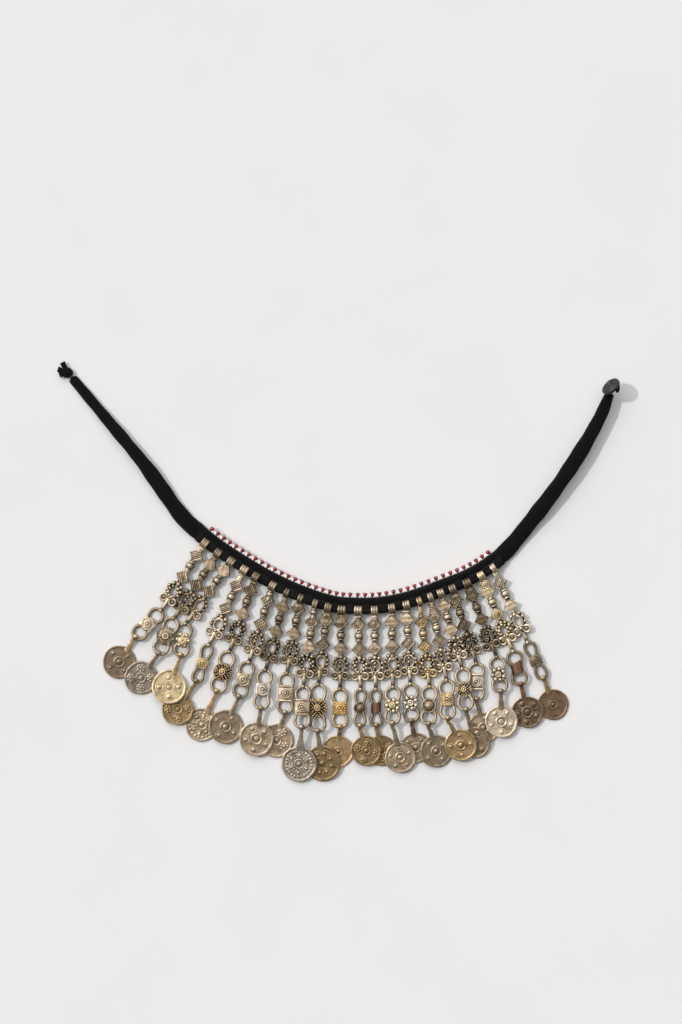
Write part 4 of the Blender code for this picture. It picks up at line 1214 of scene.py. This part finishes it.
def coin_strip(radius, reach, yaw, flare):
    """The strip from the coin's face, over the wire and back to its curled end."""
    eye = Vector((0, radius + reach, LOOP_HEIGHT))
    bend = LOOP_INNER + LOOP_STRIP / 2 + 0.08 * MM
    path = [Vector((0, radius - TAIL_LAP, COIN_FIELD + 0.25 * MM))]
    path.append(Vector((0, radius - 0.2 * MM, COIN_RIM + 0.15 * MM)))
    for turn in np.linspace(140, -150, 14):
        angle = math.radians(turn)
        path.append(eye + bend * Vector((0, math.cos(angle), math.sin(angle))))
    steps = [0.0]
    for a, b in zip(path, path[1:]):
        steps.append(steps[-1] + (b - a).length)
    steps = np.array(steps) / steps[-1]
    coords = np.array([tuple(point) for point in path])
    swing = Matrix.Rotation(yaw, 3, "Z")

    def spot(share):
        return Vector([float(np.interp(share, steps, coords[:, k])) for k in range(3)])

    def place(u, v):
        run = (spot(min(u + 0.02, 1)) - spot(max(u - 0.02, 0))).normalized()
        out = Vector((0, -run.z, run.y))
        near_coin = 1 - ease((u - 0.05) / 0.45)
        half = LOOP_WIDTH / 2 * (0.94 + flare * near_coin) * (0.7 + 0.3 * ease(u / 0.06))
        thick = (TAIL_THICK if u < 0.4 else LOOP_STRIP) / 2 + 0.03 * MM
        turn = math.tau * v
        x = blunt(math.cos(turn), 0.6) * half
        z = blunt(math.sin(turn), 0.6) * thick
        point = spot(u) + Vector((x, 0, 0)) + out * z
        swung = 1 - ease((eye.y - spot(u).y - bend) / (2.2 * MM))
        return point.lerp(eye + swing @ (point - eye), swung)

    strip = shaped_grid("strip", 40, 14, place)
    curl = eye + swing @ Vector((0, 0.55 * MM, bend + 0.05 * MM))
    size = CURL_RADIUS / MM
    ball = egg(*curl / MM, 1.15 * size, size, 0.75 * size)
    return shaded_and_worn(joined("strip", [strip, ball]))


Coin = namedtuple("Coin", "metal design turn strip_metal flare")
COINS = [Coin(*row) for row in (
    ("dark_nickel", "ringed_boss", 20, "brass", 0.2),
    ("grey_nickel", "rosettes", -10, "dull_nickel", 0.2),
    ("pale_brass", "quincunx", -25, "brass", 0.2),
    ("dark_brass", "rosettes", -11, "dark_brass", 0.2),
    ("nickel", "cross", 10, "brass", 0.5),
    ("dull_nickel", "ringed_boss", 30, "dull_nickel", 0.2),
    ("nickel", "five_boss", 12, "dull_nickel", 0.2),
    ("nickel", "rosettes", 25, "dull_nickel", 0.2),
    ("grey_nickel", "granulated", 0, "grey_nickel", 1.0),
    ("dark_brass", "nine_boss", 45, "dull_nickel", 0.3),
    ("brass", "plain_ring", 0, "brass", 0.2),
    ("dark_brass", "rosettes", 15, "brass", 0.2),
    ("dark_brass", "rosettes", 60, "brass", 0.2),
    ("nickel", "five_boss", 50, "dull_nickel", 0.3),
    ("dull_nickel", "ringed_boss", 0, "brown_bronze", 0.3),
    ("dull_nickel", "ringed_boss", 70, "dull_nickel", 0.2),
    ("brass", "ringed_boss", 28, "brass", 0.2),
    ("dull_nickel", "smooth", 0, "dull_nickel", 0.2),
    ("nickel", "five_boss", 30, "dull_nickel", 0.2),
    ("pale_nickel", "broad_boss", 18, "dull_nickel", 0.4),
    ("worn_bronze", "bold", 0, "copper", 0.2),
    ("brown_bronze", "plain_ring", 0, "brass", 0.3),
)]
coin_masters = {name: struck_coin(name) for name in sorted({look.design for look in COINS})}
for i, (row, look) in enumerate(zip(STRANDS, COINS)):
    number = f"{i + 1:02d}"
    radius = row.coin_size * COIN_RADIUS
    grow = Matrix.Diagonal((row.coin_size, row.coin_size, 1.0, 1.0))
    spin = Matrix.Rotation(math.radians(look.turn), 4, "Z")
    face = moved_copy(f"coin_face_{number}", coin_masters[look.design], coin_places[i] @ spin @ grow)
    carried(face, look.metal, f"coin_{number}")
    yaw = math.radians(row.link_lean - row.coin_lean)
    strip = coin_strip(radius, row.bail * COIN_BAIL, yaw, look.flare)
    strip.name = f"coin_bail_{number}"
    strip.data.transform(coin_places[i])
    carried(strip, look.strip_metal, f"coin_{number}")
for master in coin_masters.values():
    bpy.data.objects.remove(master)

# The button
# A dark turned horn button with fine rings round a sunk middle stands askew at the right
# end, on a shank of black thread. A loop of the same thread hangs beside it.
BUTTON_RADIUS = 5.0 * MM
BUTTON_THICK = 1.8 * MM
BUTTON_TILT = math.radians(62)
BUTTON_HEADING = math.radians(135)
BUTTON_LEAD = 2.2 * MM
BUTTON_ASIDE = 1.3 * MM
BUTTON_RISE = 3.9 * MM
STALK_RADIUS = 1.1 * MM
HORN_CLOUD = 1.8 * MM
RIM_CREASE = math.radians(40)


def polished_horn(name):
    """Dark buffalo horn, turned and rubbed: charcoal with paler cloudy streaks."""
    material, tree, shader = new_finish(name)
    colour = clouded(tree, HORN_CLOUD, 4.0, "#08080A", "#2B2B2E")
    feed(tree, shader, {"Base Color": colour, "Roughness": 0.45})
    return material


def button_face(u, v):
    """The turned face: a sunk middle with a slot, then fine rings out to the rim."""
    turn = math.tau * v
    radius = BUTTON_RADIUS * u
    rings = 0.16 * MM * math.cos(math.tau * 5 * u) * ease((u - 0.3) / 0.1) * (u < 0.97)
    sunk = -0.45 * MM * (1 - ease((u - 0.24) / 0.12))
    rounded = -0.5 * MM * ease((u - 0.88) / 0.12)
    x = radius * math.cos(turn)
    y = radius * math.sin(turn)
    slot = -0.5 * MM * hump(x, 0.5 * MM) * hump(y, 1.5 * MM)
    return Vector((x, y, BUTTON_THICK / 2 - 0.15 * MM + rings + sunk + rounded + slot))


strap_thick = STRAP_THICK * BAND_SECTIONS[-1].thick
strap_end, end_way = on_band(1.0, 0.0, END_LIFT + strap_thick / 2)
button_middle = on_band(1.0, BUTTON_ASIDE, strap_end.z + BUTTON_RISE)[0] + end_way * BUTTON_LEAD
button_way = Vector((math.cos(BUTTON_HEADING), math.sin(BUTTON_HEADING), 0.0))
button_axis = button_way * math.sin(BUTTON_TILT) + UP * math.cos(BUTTON_TILT)
button_turn = UP.rotation_difference(button_axis).to_matrix().to_4x4()
disc = thicken(sheet_grid("horn_button", 34, 96, button_face), -BUTTON_THICK / 2)
disc.data.transform(Matrix.Translation(button_middle) @ button_turn)
disc.data.materials.append(polished_horn("polished_dark_horn"))
disc.data.shade_smooth()
disc.data.set_sharp_from_angle(angle=RIM_CREASE)


def shank_skin(u, v):
    """The thread shank from inside the strap's end to the button's back."""
    back = button_middle - button_axis * (0.3 * BUTTON_THICK)
    start = strap_end - end_way * 1.0 * MM
    middle = start.lerp(back, u)
    way = (back - start).normalized()
    side = way.cross(UP).normalized()
    up = side.cross(way)
    turn = math.tau * v
    radius = STALK_RADIUS * (1 - 0.15 * math.sin(math.pi * u))
    return middle + (side * math.cos(turn) + up * math.sin(turn)) * radius


stalk = shaped_grid("stalk", 14, 12, shank_skin)
loop_at = button_middle + Vector((3.5 * MM, -0.6 * MM, -1.2 * MM))
loop = ring(*loop_at / MM, 0.75, 0.50, 2.2)
shank = joined("button_shank", [stalk, loop])
shank.data.materials.append(thread)
shank.data.shade_smooth()
for piece in (disc, shank):
    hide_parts("button")
    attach(piece, "root")

# The end knot
# The left strap ends in a knot of its own cloth, pulled tight, with three short cut tails
# that lie side by side past it.
KNOT_RADIUS = 2.9 * MM
KNOT_DEPTH = 1.7 * MM
TAIL_RADIUS = 1.0 * MM
FOLD_DEPTH = 0.12
Tail = namedtuple("Tail", "turn length")
TAILS = [Tail(-14, 5.3 * MM), Tail(34, 4.8 * MM), Tail(74, 4.1 * MM)]
left_end, left_way = on_band(0.0)
knot_middle = left_end - left_way * (KNOT_RADIUS + GAP)
knot_middle.z = KNOT_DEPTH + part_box("end_knot")[0].z


def knot_skin(u, v):
    """The knot's body: a squashed ball with the folds of the turns drawn in."""
    tip = math.pi * (u - 0.5)
    turn = math.tau * v
    fold = 1 - FOLD_DEPTH * abs(math.sin(1.5 * turn + 2.2 * tip)) ** 0.5 * math.cos(tip)
    wide = KNOT_RADIUS * max(math.cos(tip), 0.02) * fold
    towards = left_way * (0.5 * MM * math.cos(tip))
    point = Vector((wide * math.cos(turn), wide * math.sin(turn), KNOT_DEPTH * math.sin(tip)))
    return knot_middle + towards + point


def tail_skin(tail):
    """One flattened tail that widens to its cut end."""
    way = Matrix.Rotation(math.radians(tail.turn), 3, "Z") @ -left_way
    side = way.cross(UP)

    def skin(u, v):
        turn = math.tau * v
        spread = TAIL_RADIUS * (1.05 + 0.35 * u)
        flat = TAIL_RADIUS * (1.0 - 0.30 * u)
        middle = knot_middle + way * (tail.length * u)
        return middle + side * (spread * math.cos(turn)) + UP * (flat * math.sin(turn))

    return skin


tails = [shaped_grid(f"knot_tail_{k}", 10, 16, tail_skin(tail)) for k, tail in enumerate(TAILS)]
knot = joined("cloth_knot", [shaped_grid("knot_body", 24, 40, knot_skin), *tails])
knot.data.materials.append(knitted_cotton("knotted_black_cotton", 7 * MM, 12 * MM))
knot.data.shade_smooth()
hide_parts("end_knot")
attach(knot, "root")

# The table, the light and the camera
# The necklace lies on a pale matt board. Sun from the left throws crisp pale shadows to the
# right, a window beyond the neck gives soft ones below, and the camera looks straight down.
FRAME_HEIGHT = 512.0 * MM
LENS = 100.0
SENSOR = 36.0
AIM = Vector((134.75 * MM, -67.5 * MM, 0.0))
SUN = Vector((-8.1, 2.8, 9.6)).normalized()
WINDOW = Vector((-3.0, 7.0, 6.5)).normalized()
ROOM_LIGHT = 0.50
ROOM_DARKEST = 0.12
WINDOW_LIGHT = 2.1
WINDOW_NARROW = 7.0
SUN_STRENGTH = 1.25
SUN_ANGLE = math.radians(2.5)
BOARD_SIZE = 12.0
BOARD_DOWN = 0.05 * MM
BOARD_CLOUD = 60 * MM


def pale_board(name):
    """Matt white painted board with a faint unevenness."""
    material, tree, shader = new_finish(name)
    colour = clouded(tree, BOARD_CLOUD, 3.0, "#EBEAE9", "#F2F1F1")
    feed(tree, shader, {"Base Color": colour, "Roughness": 0.8})
    return material


bpy.ops.object.select_all(action="DESELECT")
bpy.ops.mesh.primitive_plane_add(size=BOARD_SIZE, location=(0, 0, -BOARD_DOWN))
board = bpy.context.object
board.name = "board"
board.data.materials.append(pale_board("matt_white_board"))

lamp_data = bpy.data.lights.new("sun_light", "SUN")
lamp_data.energy = SUN_STRENGTH
lamp_data.angle = SUN_ANGLE
lamp_data.color = (1.0, 0.99, 0.975)
lamp = bpy.data.objects.new("sun_light", lamp_data)
bpy.context.scene.collection.objects.link(lamp)
lamp.rotation_euler = (-SUN).to_track_quat("-Z", "Y").to_euler()

world = bpy.data.worlds.new("soft_room")
bpy.context.scene.world = world
world.use_nodes = True
sky = world.node_tree
seen = add_node(sky, "TexCoord", {}, "Generated")
facing = add_node(sky, "VectorMath", {0: seen, 1: WINDOW}, "Value", operation="DOT_PRODUCT")
glow = add_node(sky, "Math", {0: facing, 1: 0.0}, operation="MAXIMUM")
narrow = add_node(sky, "Math", {0: glow, 1: WINDOW_NARROW}, operation="POWER")
darkest = ROOM_DARKEST * ROOM_LIGHT
walls = {"Value": facing, "From Min": -0.7, "From Max": 0.8, "To Min": darkest, "To Max": ROOM_LIGHT}
room = add_node(sky, "MapRange", walls)
strength = add_node(sky, "Math", {0: narrow, 1: WINDOW_LIGHT, 2: room}, operation="MULTIPLY_ADD")
feed(sky, sky.nodes["Background"], {"Color": (1.0, 0.995, 0.988, 1.0), "Strength": strength})

camera_data = bpy.data.cameras.new("camera")
camera_data.lens = LENS
camera_data.sensor_width = SENSOR
camera_data.sensor_fit = "AUTO"
camera_data.clip_start = 0.01
camera = bpy.data.objects.new("camera", camera_data)
bpy.context.scene.collection.objects.link(camera)
camera.location = AIM + shift + UP * (FRAME_HEIGHT * LENS / SENSOR)
bpy.context.scene.camera = camera
bpy.context.scene.view_settings.view_transform = "Standard"
